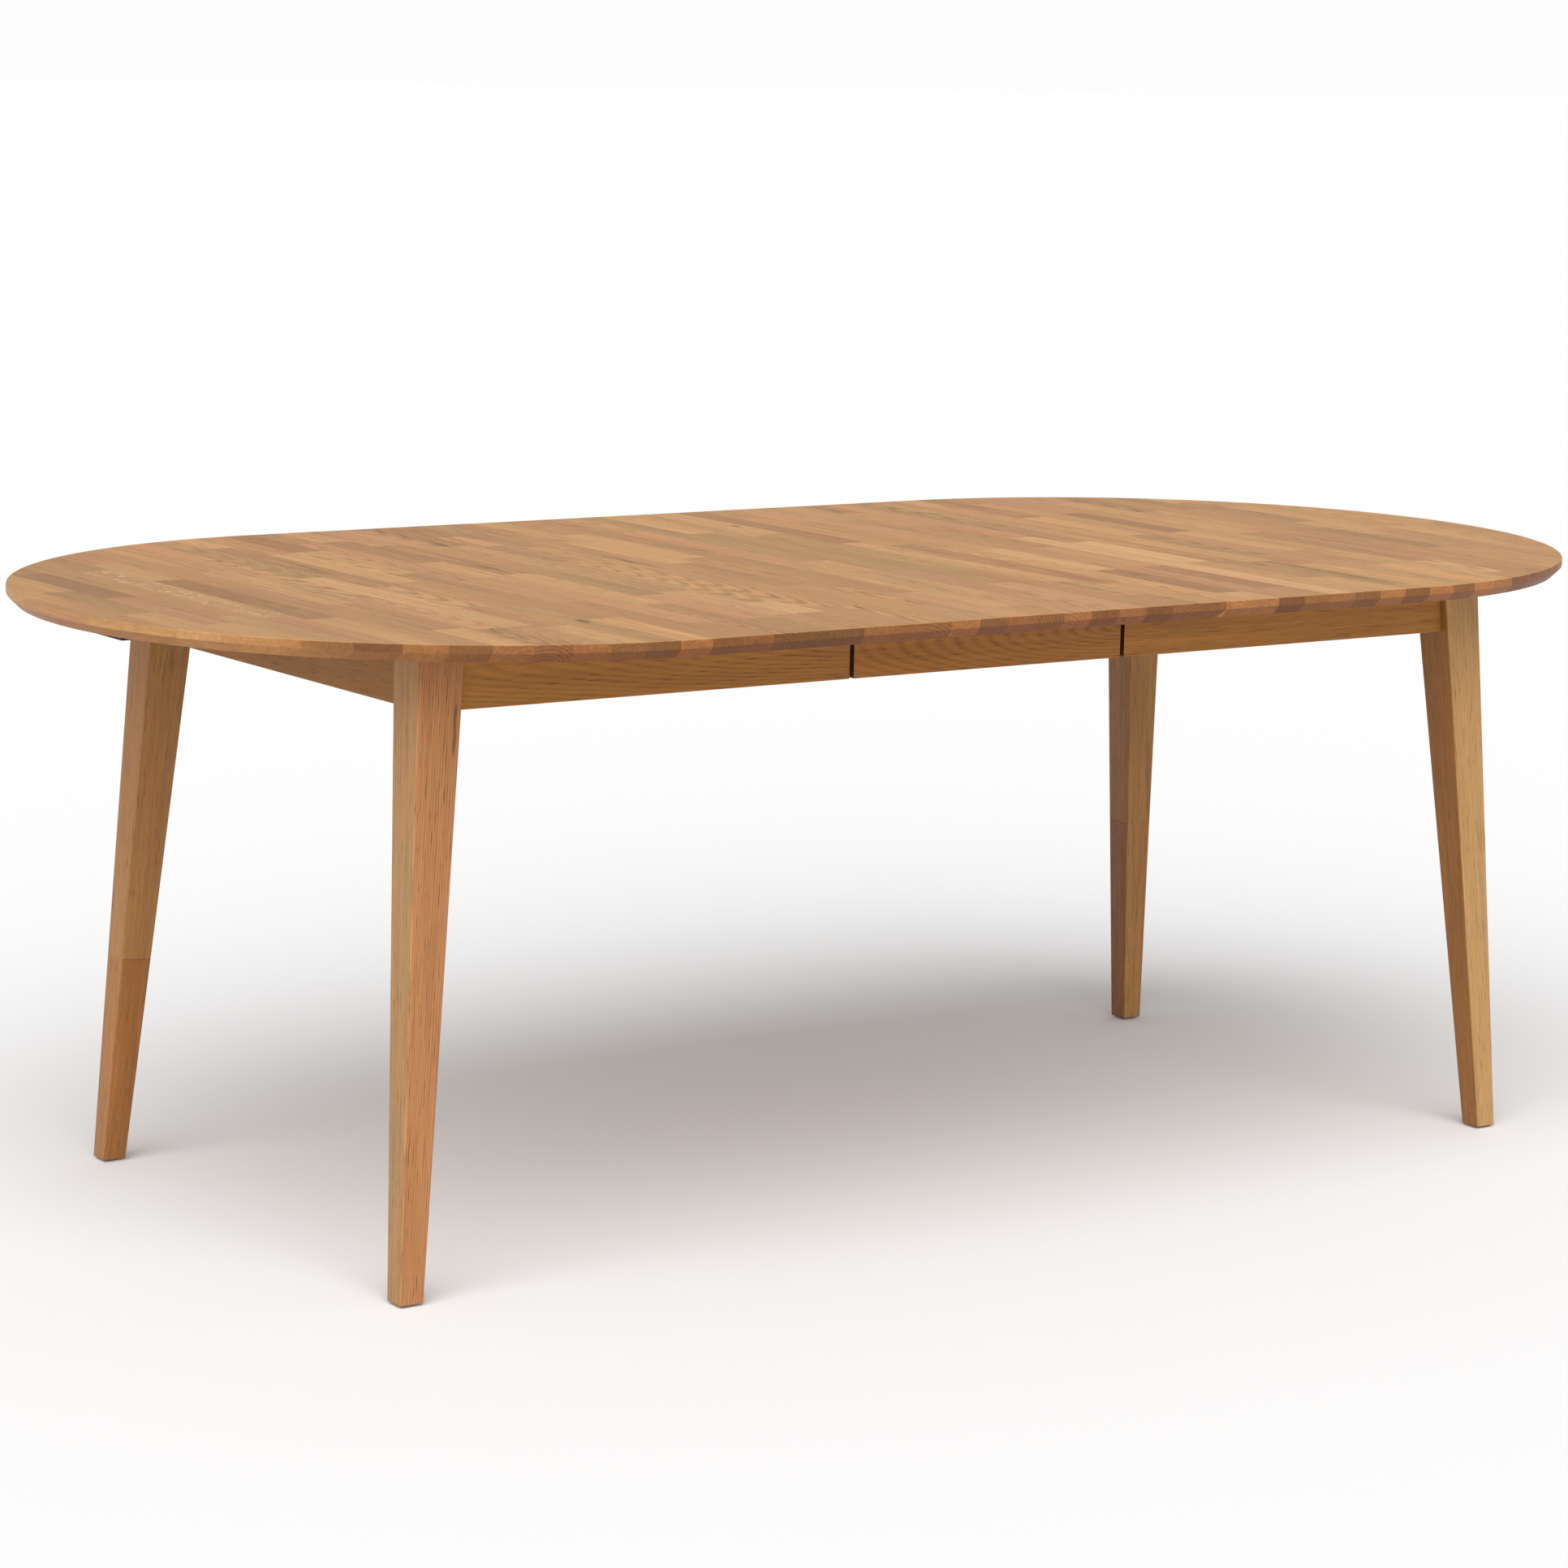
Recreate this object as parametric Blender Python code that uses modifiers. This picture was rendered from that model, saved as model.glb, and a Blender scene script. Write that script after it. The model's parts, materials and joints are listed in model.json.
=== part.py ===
"""Extendable oak dining table with half-round ends, open with its one leaf in place.

Metres. +X runs along the table, +Y from the front to the rear, +Z up. The origin is on the floor,
under the middle of the leaf. The left half is fixed, and the right half slides away from it along +X
on two wooden telescopic runner sets. Their centre members travel half as far. The loose leaf lies
across the runners, and stays midway between the halves with the centre members.
"""

import math

import bmesh
import bpy
from mathutils import Matrix, Vector

# ---- Driving dimensions ------------------------------------------------------------------------
CLEAR = 0.0003            # gap left between pieces that touch
NEAR = 0.00001            # points closer than this are the same point
CUT_PAST = 0.010          # a cutter runs this far past the face that it opens

TABLE_HEIGHT = 0.750
TOP_THICKNESS = 0.020
TOP_WIDTH = 1.070
LEAF_SPAN = 0.405         # length of table that the leaf adds
LEAF_INSET = 0.001        # the leaf's long edges sit this far inside the halves'
HALF_STRAIGHT = 0.3225    # straight part of each half, before its half-round end
EDGE_CHAMFER = 0.0105     # undercut below the edge
EDGE_EASE = 0.0015        # eased upper edge
ROUND_END_STEPS = 36

LEG_FOOT_CORNER = (0.827, 0.385)    # outer corner of a leg on the floor, as half spans
LEG_TOP_CORNER = (0.785, 0.3465)    # the same corner under the top
LEG_FOOT_SIDE = 0.030
LEG_TOP_SIDE = 0.058
LEG_EASE = 0.0015
KNEE_HEIGHT = 0.648       # where the flat for the corner brace runs out
FLAT_START = 0.672        # where it reaches its full depth
FLAT_SLOPE = 0.45         # depth gained for each unit of height between the two
FLAT_CUTTER_WIDTH = 0.120

APRON_BOTTOM = 0.658
APRON_THICKNESS = 0.020
APRON_FACE_X = 0.772      # outer face of an end apron
APRON_FACE_Y = 0.339      # outer face of a side apron
APRON_GAP = 0.0055        # slot between neighbouring lengths of side apron
APRON_SHIFT = 0.0025      # the slots lie this far to the right of the joints in the top
APRON_EASE = 0.001

BRACE_THICKNESS = 0.036
BRACE_LOW, BRACE_HIGH = 0.6725, 0.7245
BOLT_HEIGHT = 0.698
BOLT_RADIUS = 0.004
BOLT_IN_LEG = 0.034
BOLT_PAST_NUT = 0.003
BOLT_STEPS = 10
NUT_RADIUS, NUT_THICKNESS = 0.0075, 0.0080
FLANGE_RADIUS, FLANGE_THICKNESS = 0.0090, 0.0016
FLANGE_STEPS = 20

BATTEN_END = 0.996        # squared outer end of a support batten
BATTEN_INNER = 0.230
BATTEN_WIDTH = 0.095
BATTEN_THICKNESS = 0.015

RUNNER_Y = 0.200          # middle of each runner set
RUNNER_WIDTH, RUNNER_HEIGHT = 0.022, 0.038
RUNNER_GAP = 0.0005       # side gap between neighbouring members
RUNNER_DROP = 0.0005      # a centre member's upper face is this far below its neighbours'
FIXED_RUNNER_END = 0.740
RUNNER_LENGTH = 0.700
GROOVE_DEPTH, GROOVE_MOUTH, GROOVE_FLOOR = 0.0070, 0.0100, 0.0140
TONGUE_DEPTH, TONGUE_ROOT, TONGUE_TIP = 0.0065, 0.0092, 0.0126

STOP_PIN_X, STOP_PIN_RADIUS = 0.335, 0.003
STOP_PIN_LENGTH, STOP_PIN_BELOW = 0.0125, 0.0042
STOP_CLEAR = 0.0005       # gap between pin and plate at the end of the travel
OVERTRAVEL = 0.080        # how far the right half opens past the place of the leaf
STOP_PLATE_LENGTH, STOP_PLATE_THICKNESS = 0.020, 0.002

PIN_RADIUS, PIN_LENGTH, PIN_OUT = 0.004, 0.030, 0.012
PIN_SOCKET = 0.0145
PIN_STEPS = 12
PIN_Y = {"left": 0.360, "right": 0.120}
KEYWAY_DEPTH, KEYWAY_WIDTH, KEYWAY_ROOF = 0.0130, 0.0086, 0.0055

CLEAT_SIDE, CLEAT_EASE = 0.022, 0.002
CLEAT_SPAN = (0.230, 0.640)
LEAF_CLEAT_SPAN = 0.180

GLIDE_RADIUS, GLIDE_THICKNESS, GLIDE_EASE = 0.011, 0.0022, 0.0004
GLIDE_STEPS = 16
NAIL_RADIUS, NAIL_LENGTH = 0.0015, 0.012

LEAF_BODY, CENTRE_BODY = "leaf", "runner_centre"
SIDES = {"left": -1, "right": 1}
FACES = {"front": -1, "rear": 1}

# ---- Sizes that follow from them ---------------------------------------------------------------
TOP_UNDERSIDE = TABLE_HEIGHT - TOP_THICKNESS
TOP_MIDDLE = TABLE_HEIGHT - TOP_THICKNESS / 2
UNDER_TOP = TOP_UNDERSIDE - CLEAR
JOINT_X = LEAF_SPAN / 2 + CLEAR
END_CENTRE_X = LEAF_SPAN / 2 + HALF_STRAIGHT
END_RADIUS = TOP_WIDTH / 2
LEG_BOTTOM = GLIDE_THICKNESS + CLEAR
APRON_INNER_X = APRON_FACE_X - APRON_THICKNESS
APRON_INNER_Y = APRON_FACE_Y - APRON_THICKNESS
RUNNER_BOTTOM = UNDER_TOP - RUNNER_HEIGHT
MEMBER_PITCH = RUNNER_WIDTH + RUNNER_GAP
STOP_REACH = STOP_PIN_RADIUS + OVERTRAVEL / 2 + STOP_CLEAR
STOP_PLATE_X = STOP_PIN_X - STOP_REACH - STOP_PLATE_LENGTH / 2

UP = Vector((0, 0, 1))
ALONG_X = Matrix.Rotation(math.pi / 2, 4, "Z") @ Matrix.Rotation(math.pi / 2, 4, "X")
SHARP_ANGLE = math.radians(30)
FLAT_ANGLE = math.radians(0.05)

FINISHES = {
    "oak_top": ((0.500, 0.275, 0.135), 0.42, 0.0),
    "oak_frame": ((0.430, 0.245, 0.115), 0.48, 0.0),
    "inner_wood": ((0.480, 0.330, 0.190), 0.60, 0.0),
    "stained_wood": ((0.085, 0.028, 0.018), 0.55, 0.0),
    "zinc_steel": ((0.560, 0.560, 0.540), 0.35, 1.0),
    "beech_pin": ((0.560, 0.380, 0.220), 0.55, 0.0),
    "grey_plastic": ((0.180, 0.170, 0.160), 0.50, 0.0),
}


# ---- Scene, finishes and small tools -----------------------------------------------------------
def empty_scene():
    """Remove the start-up objects and return the two collections that the model uses."""
    for thing in list(bpy.data.objects):
        bpy.data.objects.remove(thing)
    made = []
    for name in ("extendable_dining_table", "cutters"):
        made.append(bpy.data.collections.new(name))
        bpy.context.scene.collection.children.link(made[-1])
    return made


def make_finish(name, colour, roughness, metallic):
    """Return a material with one Principled BSDF of that colour."""
    finish = bpy.data.materials.new(name)
    finish.use_nodes = True
    shader = finish.node_tree.nodes["Principled BSDF"]
    shader.inputs["Base Color"].default_value = (*colour, 1.0)
    shader.inputs["Roughness"].default_value = roughness
    shader.inputs["Metallic"].default_value = metallic
    finish.diffuse_color = (*colour, 1.0)
    return finish


PARTS, CUTTERS = empty_scene()
FINISH = {name: make_finish(name, *look) for name, look in FINISHES.items()}
BODIES = {}


def add_body(name, where):
    """Add the empty that a moving body's pieces are parented to, on its joint's axis."""
    BODIES[name] = bpy.data.objects.new(name, None)
    BODIES[name].location = where
    PARTS.objects.link(BODIES[name])


def add_part(name, mesh, finish, body, pose=None):
    """Add one sub-part from its mesh, at its pose in the table, to its body."""
    part = bpy.data.objects.new(name, mesh)
    mesh.materials.clear()
    mesh.materials.append(FINISH[finish])
    mesh.shade_smooth()
    mesh.set_sharp_from_angle(angle=SHARP_ANGLE)
    part.matrix_basis = pose or Matrix()
    part.parent = BODIES[body]
    part.matrix_parent_inverse = Matrix.Translation(-BODIES[body].location)
    PARTS.objects.link(part)
    return part


def cut(parts, name, mesh, pose=None):
    """Cut the same mesh out of each of the parts."""
    cutter = bpy.data.objects.new(name, mesh)
    cutter.matrix_basis = pose or Matrix()
    cutter.hide_render = True
    cutter.display_type = "WIRE"
    CUTTERS.objects.link(cutter)
    for part in parts:
        boolean = part.modifiers.new(name, "BOOLEAN")
        boolean.operation = "DIFFERENCE"
        boolean.solver = "EXACT"
        boolean.object = cutter


def mesh_from(form, name):
    """Turn a bmesh into a mesh with its faces pointing out."""
    bmesh.ops.recalc_face_normals(form, faces=form.faces)
    mesh = bpy.data.meshes.new(name)
    form.to_mesh(mesh)
    form.free()
    return mesh


def evaluated(holder, name):
    """Return the welded mesh that an object makes with its modifiers, and remove the object."""
    bpy.context.scene.collection.objects.link(holder)
    bpy.context.view_layer.update()
    graph = bpy.context.evaluated_depsgraph_get()
    form = bmesh.new()
    form.from_mesh(bpy.data.meshes.new_from_object(holder.evaluated_get(graph)))
    bmesh.ops.remove_doubles(form, verts=form.verts, dist=NEAR)
    bmesh.ops.dissolve_limit(form, angle_limit=FLAT_ANGLE, verts=form.verts, edges=form.edges)
    bpy.data.objects.remove(holder)
    return mesh_from(form, name)


def box_form(low, high):
    """Return the bmesh of a box between two corners."""
    form = bmesh.new()
    bmesh.ops.create_cube(form, size=1.0)
    size = [b - a for a, b in zip(low, high)]
    middle = [(a + b) / 2 for a, b in zip(low, high)]
    bmesh.ops.scale(form, vec=size, verts=form.verts)
    bmesh.ops.translate(form, vec=middle, verts=form.verts)
    return form


def sorted_box(corner, other):
    """Return the lowest and highest corners of a box from any two opposite ones."""
    pairs = [sorted(pair) for pair in zip(corner, other)]
    return [low for low, _ in pairs], [high for _, high in pairs]


def prism_mesh(name, outline, thickness):
    """Give a flat outline a thickness: it lies in XY, centred on Z = 0."""
    flat = bpy.data.curves.new(name, "CURVE")
    flat.dimensions = "2D"
    flat.fill_mode = "BOTH"
    flat.extrude = thickness / 2
    spline = flat.splines.new("POLY")
    spline.points.add(len(outline) - 1)
    for point, place in zip(spline.points, outline):
        point.co = (*place, 0.0, 1.0)
    spline.use_cyclic_u = True
    return evaluated(bpy.data.objects.new(name, flat), name)


def turned_mesh(name, profile, steps):
    """Turn a profile of (radius, height) points about Z. It runs down its outer side."""
    points = [(radius, 0.0, height) for radius, height in profile]
    line = bpy.data.meshes.new(name)
    line.from_pydata(points, [(i, i + 1) for i in range(len(points) - 1)], [])
    holder = bpy.data.objects.new(name, line)
    turn = holder.modifiers.new("turn", "SCREW")
    turn.steps = steps
    turn.render_steps = steps
    turn.use_merge_vertices = True
    turn.merge_threshold = NEAR
    return evaluated(holder, name)


def rod_mesh(name, radius, length, steps):
    """Return a plain rod that starts at the origin and runs down -Z."""
    profile = [(0.0, 0.0), (radius, 0.0), (radius, -length), (0.0, -length)]
    return turned_mesh(name, profile, steps)


def copies(name, mesh, poses):
    """Return one mesh that holds a separate copy of a mesh at each pose."""
    form = bmesh.new()
    for pose in poses:
        before = len(form.verts)
        form.from_mesh(mesh)
        form.verts.ensure_lookup_table()
        bmesh.ops.transform(form, matrix=pose, verts=form.verts[before:])
    return mesh_from(form, name)


def aim(where, direction):
    """Return the pose that puts a rod's start at a point and sends it along a direction."""
    turn = Vector(direction).to_track_quat("-Z", "Y").to_matrix().to_4x4()
    return Matrix.Translation(where) @ turn


def edges_where(form, test):
    """Return the edges whose two ends both pass a test of their place."""
    return [edge for edge in form.edges if all(test(vert.co) for vert in edge.verts)]


def ease(form, edges, width, segments=1):
    """Bevel some edges of a bmesh."""
    bmesh.ops.bevel(form, geom=edges, offset=width, offset_type="OFFSET",
                    segments=segments, profile=0.5, affect="EDGES")


# ---- The table top -----------------------------------------------------------------------------
def upper_edges(form):
    """Return the edges around the upper face of a board that is centred on Z = 0."""
    return edges_where(form, lambda place: place.z > TOP_THICKNESS / 2 - NEAR)


def half_top(side):
    """Make a half top: a straight part and a half-round end."""
    sign = SIDES[side]
    outline = [(sign * JOINT_X, -TOP_WIDTH / 2)]
    for step in range(ROUND_END_STEPS + 1):
        angle = math.pi * (step / ROUND_END_STEPS - 0.5)
        outline.append((sign * (END_CENTRE_X + END_RADIUS * math.cos(angle)),
                        END_RADIUS * math.sin(angle)))
    outline.append((sign * JOINT_X, TOP_WIDTH / 2))
    form = bmesh.new()
    form.from_mesh(prism_mesh("half_top_blank", outline, TOP_THICKNESS))
    joint_edge = edges_where(form, lambda place: abs(place.x) < JOINT_X + NEAR)
    joint_ends = {vert for edge in joint_edge for vert in edge.verts}
    lower = [edge for edge in edges_where(form, lambda place: place.z < 0)
             if not joint_ends.issuperset(edge.verts)]
    ease(form, lower, EDGE_CHAMFER)
    ease(form, upper_edges(form), EDGE_EASE, segments=2)
    return add_part(f"half_top_{side}", mesh_from(form, f"half_top_{side}"), "oak_top", side,
                    Matrix.Translation((0, 0, TOP_MIDDLE)))


def leaf_top():
    """Make the leaf, with an open-bottomed keyway for each alignment pin."""
    half_x, half_y = LEAF_SPAN / 2, TOP_WIDTH / 2 - LEAF_INSET
    form = box_form((-half_x, -half_y, -TOP_THICKNESS / 2), (half_x, half_y, TOP_THICKNESS / 2))
    for sign in FACES.values():
        lower = edges_where(form, lambda place: place.z < 0 and place.y * sign > half_y - NEAR)
        ease(form, lower, EDGE_CHAMFER)
    ease(form, upper_edges(form), EDGE_EASE, segments=2)
    leaf = add_part("extension_leaf", mesh_from(form, "extension_leaf"), "oak_top", LEAF_BODY,
                    Matrix.Translation((0, 0, TOP_MIDDLE)))
    for side, sign in SIDES.items():
        for face in FACES.values():
            y = face * PIN_Y[side]
            low, high = sorted_box(
                (sign * (half_x - KEYWAY_DEPTH), y - KEYWAY_WIDTH / 2, TOP_UNDERSIDE - CUT_PAST),
                (sign * (half_x + CUT_PAST), y + KEYWAY_WIDTH / 2, TABLE_HEIGHT - KEYWAY_ROOF))
            name = f"keyway_{side}_{face}"
            cut([leaf], name, mesh_from(box_form(low, high), name))
    return leaf


def alignment_pins(side, top):
    """Set two pins in a half's joint edge, and bore the sockets for the other half's pins."""
    sign = SIDES[side]
    out = Vector((-sign, 0, 0))
    tip_x = sign * (JOINT_X - PIN_OUT)
    own = [aim((tip_x, face * PIN_Y[side], TOP_MIDDLE), -out) for face in FACES.values()]
    for face, pose in zip(FACES, own):
        pin = rod_mesh("pin", PIN_RADIUS, PIN_LENGTH, PIN_STEPS)
        add_part(f"alignment_pin_{face}_{side}", pin, "beech_pin", side, pose)
    bore = rod_mesh("bore", PIN_RADIUS + CLEAR, PIN_LENGTH + CLEAR, PIN_STEPS)
    cut([top], f"pin_bores_{side}", copies("bores", bore, own))
    other = "left" if side == "right" else "right"
    start_x = sign * (JOINT_X - CUT_PAST)
    others = [aim((start_x, face * PIN_Y[other], TOP_MIDDLE), -out) for face in FACES.values()]
    socket = rod_mesh("socket", PIN_RADIUS + CLEAR, PIN_SOCKET + CUT_PAST, PIN_STEPS)
    cut([top], f"pin_sockets_{side}", copies("sockets", socket, others))


# ---- Legs and frame ----------------------------------------------------------------------------
def leg_corner(height, inner):
    """Return the half spans of a leg's outer or inner corner at a height."""
    rise = height / TOP_UNDERSIDE
    side = LEG_FOOT_SIDE + (LEG_TOP_SIDE - LEG_FOOT_SIDE) * rise
    return [foot + (top - foot) * rise - (side if inner else 0.0)
            for foot, top in zip(LEG_FOOT_CORNER, LEG_TOP_CORNER)]


KNEE_SUM = sum(leg_corner(KNEE_HEIGHT, inner=True))
FLAT_SUM = KNEE_SUM + math.sqrt(2) * FLAT_SLOPE * (FLAT_START - KNEE_HEIGHT)


def inward(sign_x, sign_y):
    """Return the level direction from a leg towards the middle of the table, at 45 degrees."""
    return Vector((-sign_x, -sign_y, 0)).normalized()


def leg(side, face):
    """Make a splayed, tapered leg with the flat for its brace planed on its inner corner."""
    sign_x, sign_y = SIDES[side], FACES[face]
    form = box_form((-1, -1, LEG_BOTTOM), (1, 1, UNDER_TOP))
    for vert in form.verts:
        inner_x, inner_y = vert.co.x * sign_x < 0, vert.co.y * sign_y < 0
        vert.co.x = sign_x * leg_corner(vert.co.z, inner_x)[0]
        vert.co.y = sign_y * leg_corner(vert.co.z, inner_y)[1]
    top_ring = edges_where(form, lambda place: place.z > UNDER_TOP - NEAR)
    ease(form, [edge for edge in form.edges if edge not in top_ring], LEG_EASE, segments=2)
    name = f"leg_{face}_{side}"
    part = add_part(name, mesh_from(form, name), "oak_frame", side)
    knee, flat = -KNEE_SUM / math.sqrt(2), -FLAT_SUM / math.sqrt(2)
    past, high = knee + LEG_TOP_SIDE, TABLE_HEIGHT
    outline = [(knee, KNEE_HEIGHT), (past, KNEE_HEIGHT), (past, high), (flat, high),
               (flat, FLAT_START)]
    across = inward(sign_x, sign_y)
    sideways = across.cross(UP)
    corner = leg_corner(FLAT_START, inner=True)
    offset = sideways * sideways.dot((sign_x * corner[0], sign_y * corner[1], 0))
    turn = Matrix((across, UP, sideways)).transposed().to_4x4()
    cutter = prism_mesh("brace_flat", outline, FLAT_CUTTER_WIDTH)
    cut([part], f"brace_flat_{face}_{side}", cutter, Matrix.Translation(offset) @ turn)
    return part


def foot_glide(side, face, leg_part):
    """Nail a plastic glide into the middle of a foot."""
    sign_x, sign_y = SIDES[side], FACES[face]
    outer, inner = leg_corner(0.0, inner=False), leg_corner(0.0, inner=True)
    where = (sign_x * (outer[0] + inner[0]) / 2, sign_y * (outer[1] + inner[1]) / 2, 0.0)
    nail_top = GLIDE_THICKNESS + NAIL_LENGTH
    profile = [(0.0, nail_top), (NAIL_RADIUS, nail_top), (NAIL_RADIUS, GLIDE_THICKNESS),
               (GLIDE_RADIUS, GLIDE_THICKNESS), (GLIDE_RADIUS, GLIDE_EASE),
               (GLIDE_RADIUS - GLIDE_EASE, 0.0), (0.0, 0.0)]
    glide = turned_mesh("glide", profile, GLIDE_STEPS)
    add_part(f"foot_glide_{face}_{side}", glide, "grey_plastic", side, Matrix.Translation(where))
    hole = rod_mesh("nail_hole", NAIL_RADIUS + CLEAR, nail_top + CLEAR, GLIDE_STEPS)
    cut([leg_part], f"nail_hole_{face}_{side}", hole, aim(where, UP))


def ease_lower(form):
    """Ease the lower edges of a length of apron."""
    ease(form, edges_where(form, lambda place: place.z < APRON_BOTTOM + NEAR), APRON_EASE)


def side_apron(side, face):
    """Make a half's side apron: its outer end follows the slope of the leg."""
    sign_x, sign_y = SIDES[side], FACES[face]
    joint = sign_x * LEAF_SPAN / 2 + APRON_SHIFT + sign_x * APRON_GAP / 2
    low, high = sorted_box((joint, sign_y * APRON_INNER_Y, APRON_BOTTOM),
                           (sign_x * APRON_FACE_X, sign_y * APRON_FACE_Y, UNDER_TOP))
    form = box_form(low, high)
    for vert in form.verts:
        if abs(vert.co.x) > APRON_INNER_X:
            vert.co.x = sign_x * (leg_corner(vert.co.z, inner=True)[0] - CLEAR)
    ease_lower(form)
    name = f"side_apron_{face}_{side}"
    return add_part(name, mesh_from(form, name), "oak_frame", side)


def end_apron(side):
    """Make an end apron, notched over the support batten, its ends on the slope of the legs."""
    sign = SIDES[side]
    low, high = sorted_box((sign * APRON_INNER_X, -APRON_FACE_Y, APRON_BOTTOM),
                           (sign * APRON_FACE_X, APRON_FACE_Y, UNDER_TOP))
    form = box_form(low, high)
    for vert in form.verts:
        reach = leg_corner(vert.co.z, inner=True)[1] - CLEAR
        vert.co.y = math.copysign(reach, vert.co.y)
    ease_lower(form)
    name = f"end_apron_{side}"
    part = add_part(name, mesh_from(form, name), "oak_frame", side)
    notch = BATTEN_WIDTH / 2 + CLEAR
    low, high = sorted_box((sign * (APRON_INNER_X - CUT_PAST), -notch,
                            UNDER_TOP - BATTEN_THICKNESS - CLEAR),
                           (sign * (APRON_FACE_X + CUT_PAST), notch, TABLE_HEIGHT))
    cut([part], f"batten_notch_{side}", mesh_from(box_form(low, high), "batten_notch"))
    return part


def corner_brace(side, face):
    """Make the block that spans the corner behind a leg, mitred against both aprons."""
    sign_x, sign_y = SIDES[side], FACES[face]
    near = FLAT_SUM - math.sqrt(2) * CLEAR
    far = near - math.sqrt(2) * BRACE_THICKNESS
    edge_x, edge_y = APRON_INNER_X - CLEAR, APRON_INNER_Y - CLEAR
    outline = [(edge_x, near - edge_x), (near - edge_y, edge_y),
               (far - edge_y, edge_y), (edge_x, far - edge_x)]
    outline = [(sign_x * x, sign_y * y) for x, y in outline]
    name = f"corner_brace_{face}_{side}"
    mesh = prism_mesh(name, outline, BRACE_HIGH - BRACE_LOW)
    return add_part(name, mesh, "inner_wood", side,
                    Matrix.Translation((0, 0, (BRACE_LOW + BRACE_HIGH) / 2)))


def nut_mesh():
    """Return a hexagon nut with a flange: it starts at the origin and its flange ends below."""
    form = bmesh.new()
    bmesh.ops.create_cone(form, cap_ends=True, segments=6, radius1=NUT_RADIUS, radius2=NUT_RADIUS,
                          depth=NUT_THICKNESS)
    bmesh.ops.translate(form, vec=(0, 0, -NUT_THICKNESS / 2), verts=form.verts)
    holder = bpy.data.objects.new("nut", mesh_from(form, "nut_blank"))
    disc = rod_mesh("flange", FLANGE_RADIUS, FLANGE_THICKNESS, FLANGE_STEPS)
    bore = rod_mesh("nut_bore", BOLT_RADIUS + CLEAR, 2 * NUT_THICKNESS, BOLT_STEPS)
    tools = []
    for mesh, start, operation in ((disc, FLANGE_THICKNESS - NUT_THICKNESS, "UNION"),
                                   (bore, NUT_THICKNESS / 2, "DIFFERENCE")):
        tool = bpy.data.objects.new(mesh.name, mesh)
        tool.matrix_basis = Matrix.Translation((0, 0, start))
        bpy.context.scene.collection.objects.link(tool)
        boolean = holder.modifiers.new(mesh.name, "BOOLEAN")
        boolean.operation = operation
        boolean.object = tool
        tools.append(tool)
    mesh = evaluated(holder, "nut")
    for tool in tools:
        bpy.data.objects.remove(tool)
    return mesh


def leg_fixings(side, legs, braces):
    """Bolt each leg through its brace with a hanger bolt and a flange nut."""
    edge_x, edge_y = APRON_INNER_X - CLEAR, APRON_INNER_Y - CLEAR
    flat_x, flat_y = (FLAT_SUM + edge_x - edge_y) / 2, (FLAT_SUM - edge_x + edge_y) / 2
    nut_at = CLEAR + BRACE_THICKNESS + CLEAR
    nut_end = nut_at + NUT_THICKNESS
    length = nut_end + BOLT_PAST_NUT + BOLT_IN_LEG
    for (face, sign_y), leg_part, brace in zip(FACES.items(), legs, braces):
        across = inward(SIDES[side], sign_y)
        flat = Vector((SIDES[side] * flat_x, sign_y * flat_y, BOLT_HEIGHT))
        bolt_pose = aim(flat + across * (nut_end + BOLT_PAST_NUT), -across)
        add_part(f"hanger_bolt_{face}_{side}", rod_mesh("bolt", BOLT_RADIUS, length, BOLT_STEPS),
                 "zinc_steel", side, bolt_pose)
        add_part(f"leg_nut_{face}_{side}", nut_mesh(), "zinc_steel", side,
                 aim(flat + across * nut_end, -across))
        drill = rod_mesh("bolt_hole", BOLT_RADIUS + CLEAR, length + CLEAR, BOLT_STEPS)
        cut([leg_part, brace], f"bolt_hole_{face}_{side}", drill, bolt_pose)


# ---- Battens, cleats and runners ---------------------------------------------------------------
def support_batten(side):
    """Make the stained batten under a half, from its overhang to near the joint."""
    sign = SIDES[side]
    low, high = sorted_box((sign * BATTEN_INNER, -BATTEN_WIDTH / 2, UNDER_TOP - BATTEN_THICKNESS),
                           (sign * BATTEN_END, BATTEN_WIDTH / 2, UNDER_TOP))
    name = f"support_batten_{side}"
    add_part(name, mesh_from(box_form(low, high), name), "stained_wood", side)


def cleat(name, start, end, sign_y, body):
    """Make the strip that holds a length of side apron to the top, in the corner between them."""
    back = sign_y * (APRON_INNER_Y - CLEAR)
    low, high = sorted_box((start, back, UNDER_TOP - CLEAT_SIDE),
                           (end, back - sign_y * CLEAT_SIDE, UNDER_TOP))
    form = box_form(low, high)
    inner = edges_where(form, lambda place: place.z < low[2] + NEAR
                        and abs(place.y) < APRON_INNER_Y - CLEAT_SIDE / 2)
    ease(form, inner, CLEAT_EASE)
    add_part(name, mesh_from(form, name), "inner_wood", body)


def groove_outline():
    """Return a fixed member's section: its groove faces +X of the outline."""
    middle, width = RUNNER_HEIGHT / 2, RUNNER_WIDTH
    mouth, floor = GROOVE_MOUTH / 2, GROOVE_FLOOR / 2
    return [(0, 0), (width, 0), (width, middle - mouth), (width - GROOVE_DEPTH, middle - floor),
            (width - GROOVE_DEPTH, middle + floor), (width, middle + mouth),
            (width, RUNNER_HEIGHT), (0, RUNNER_HEIGHT)]


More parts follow.
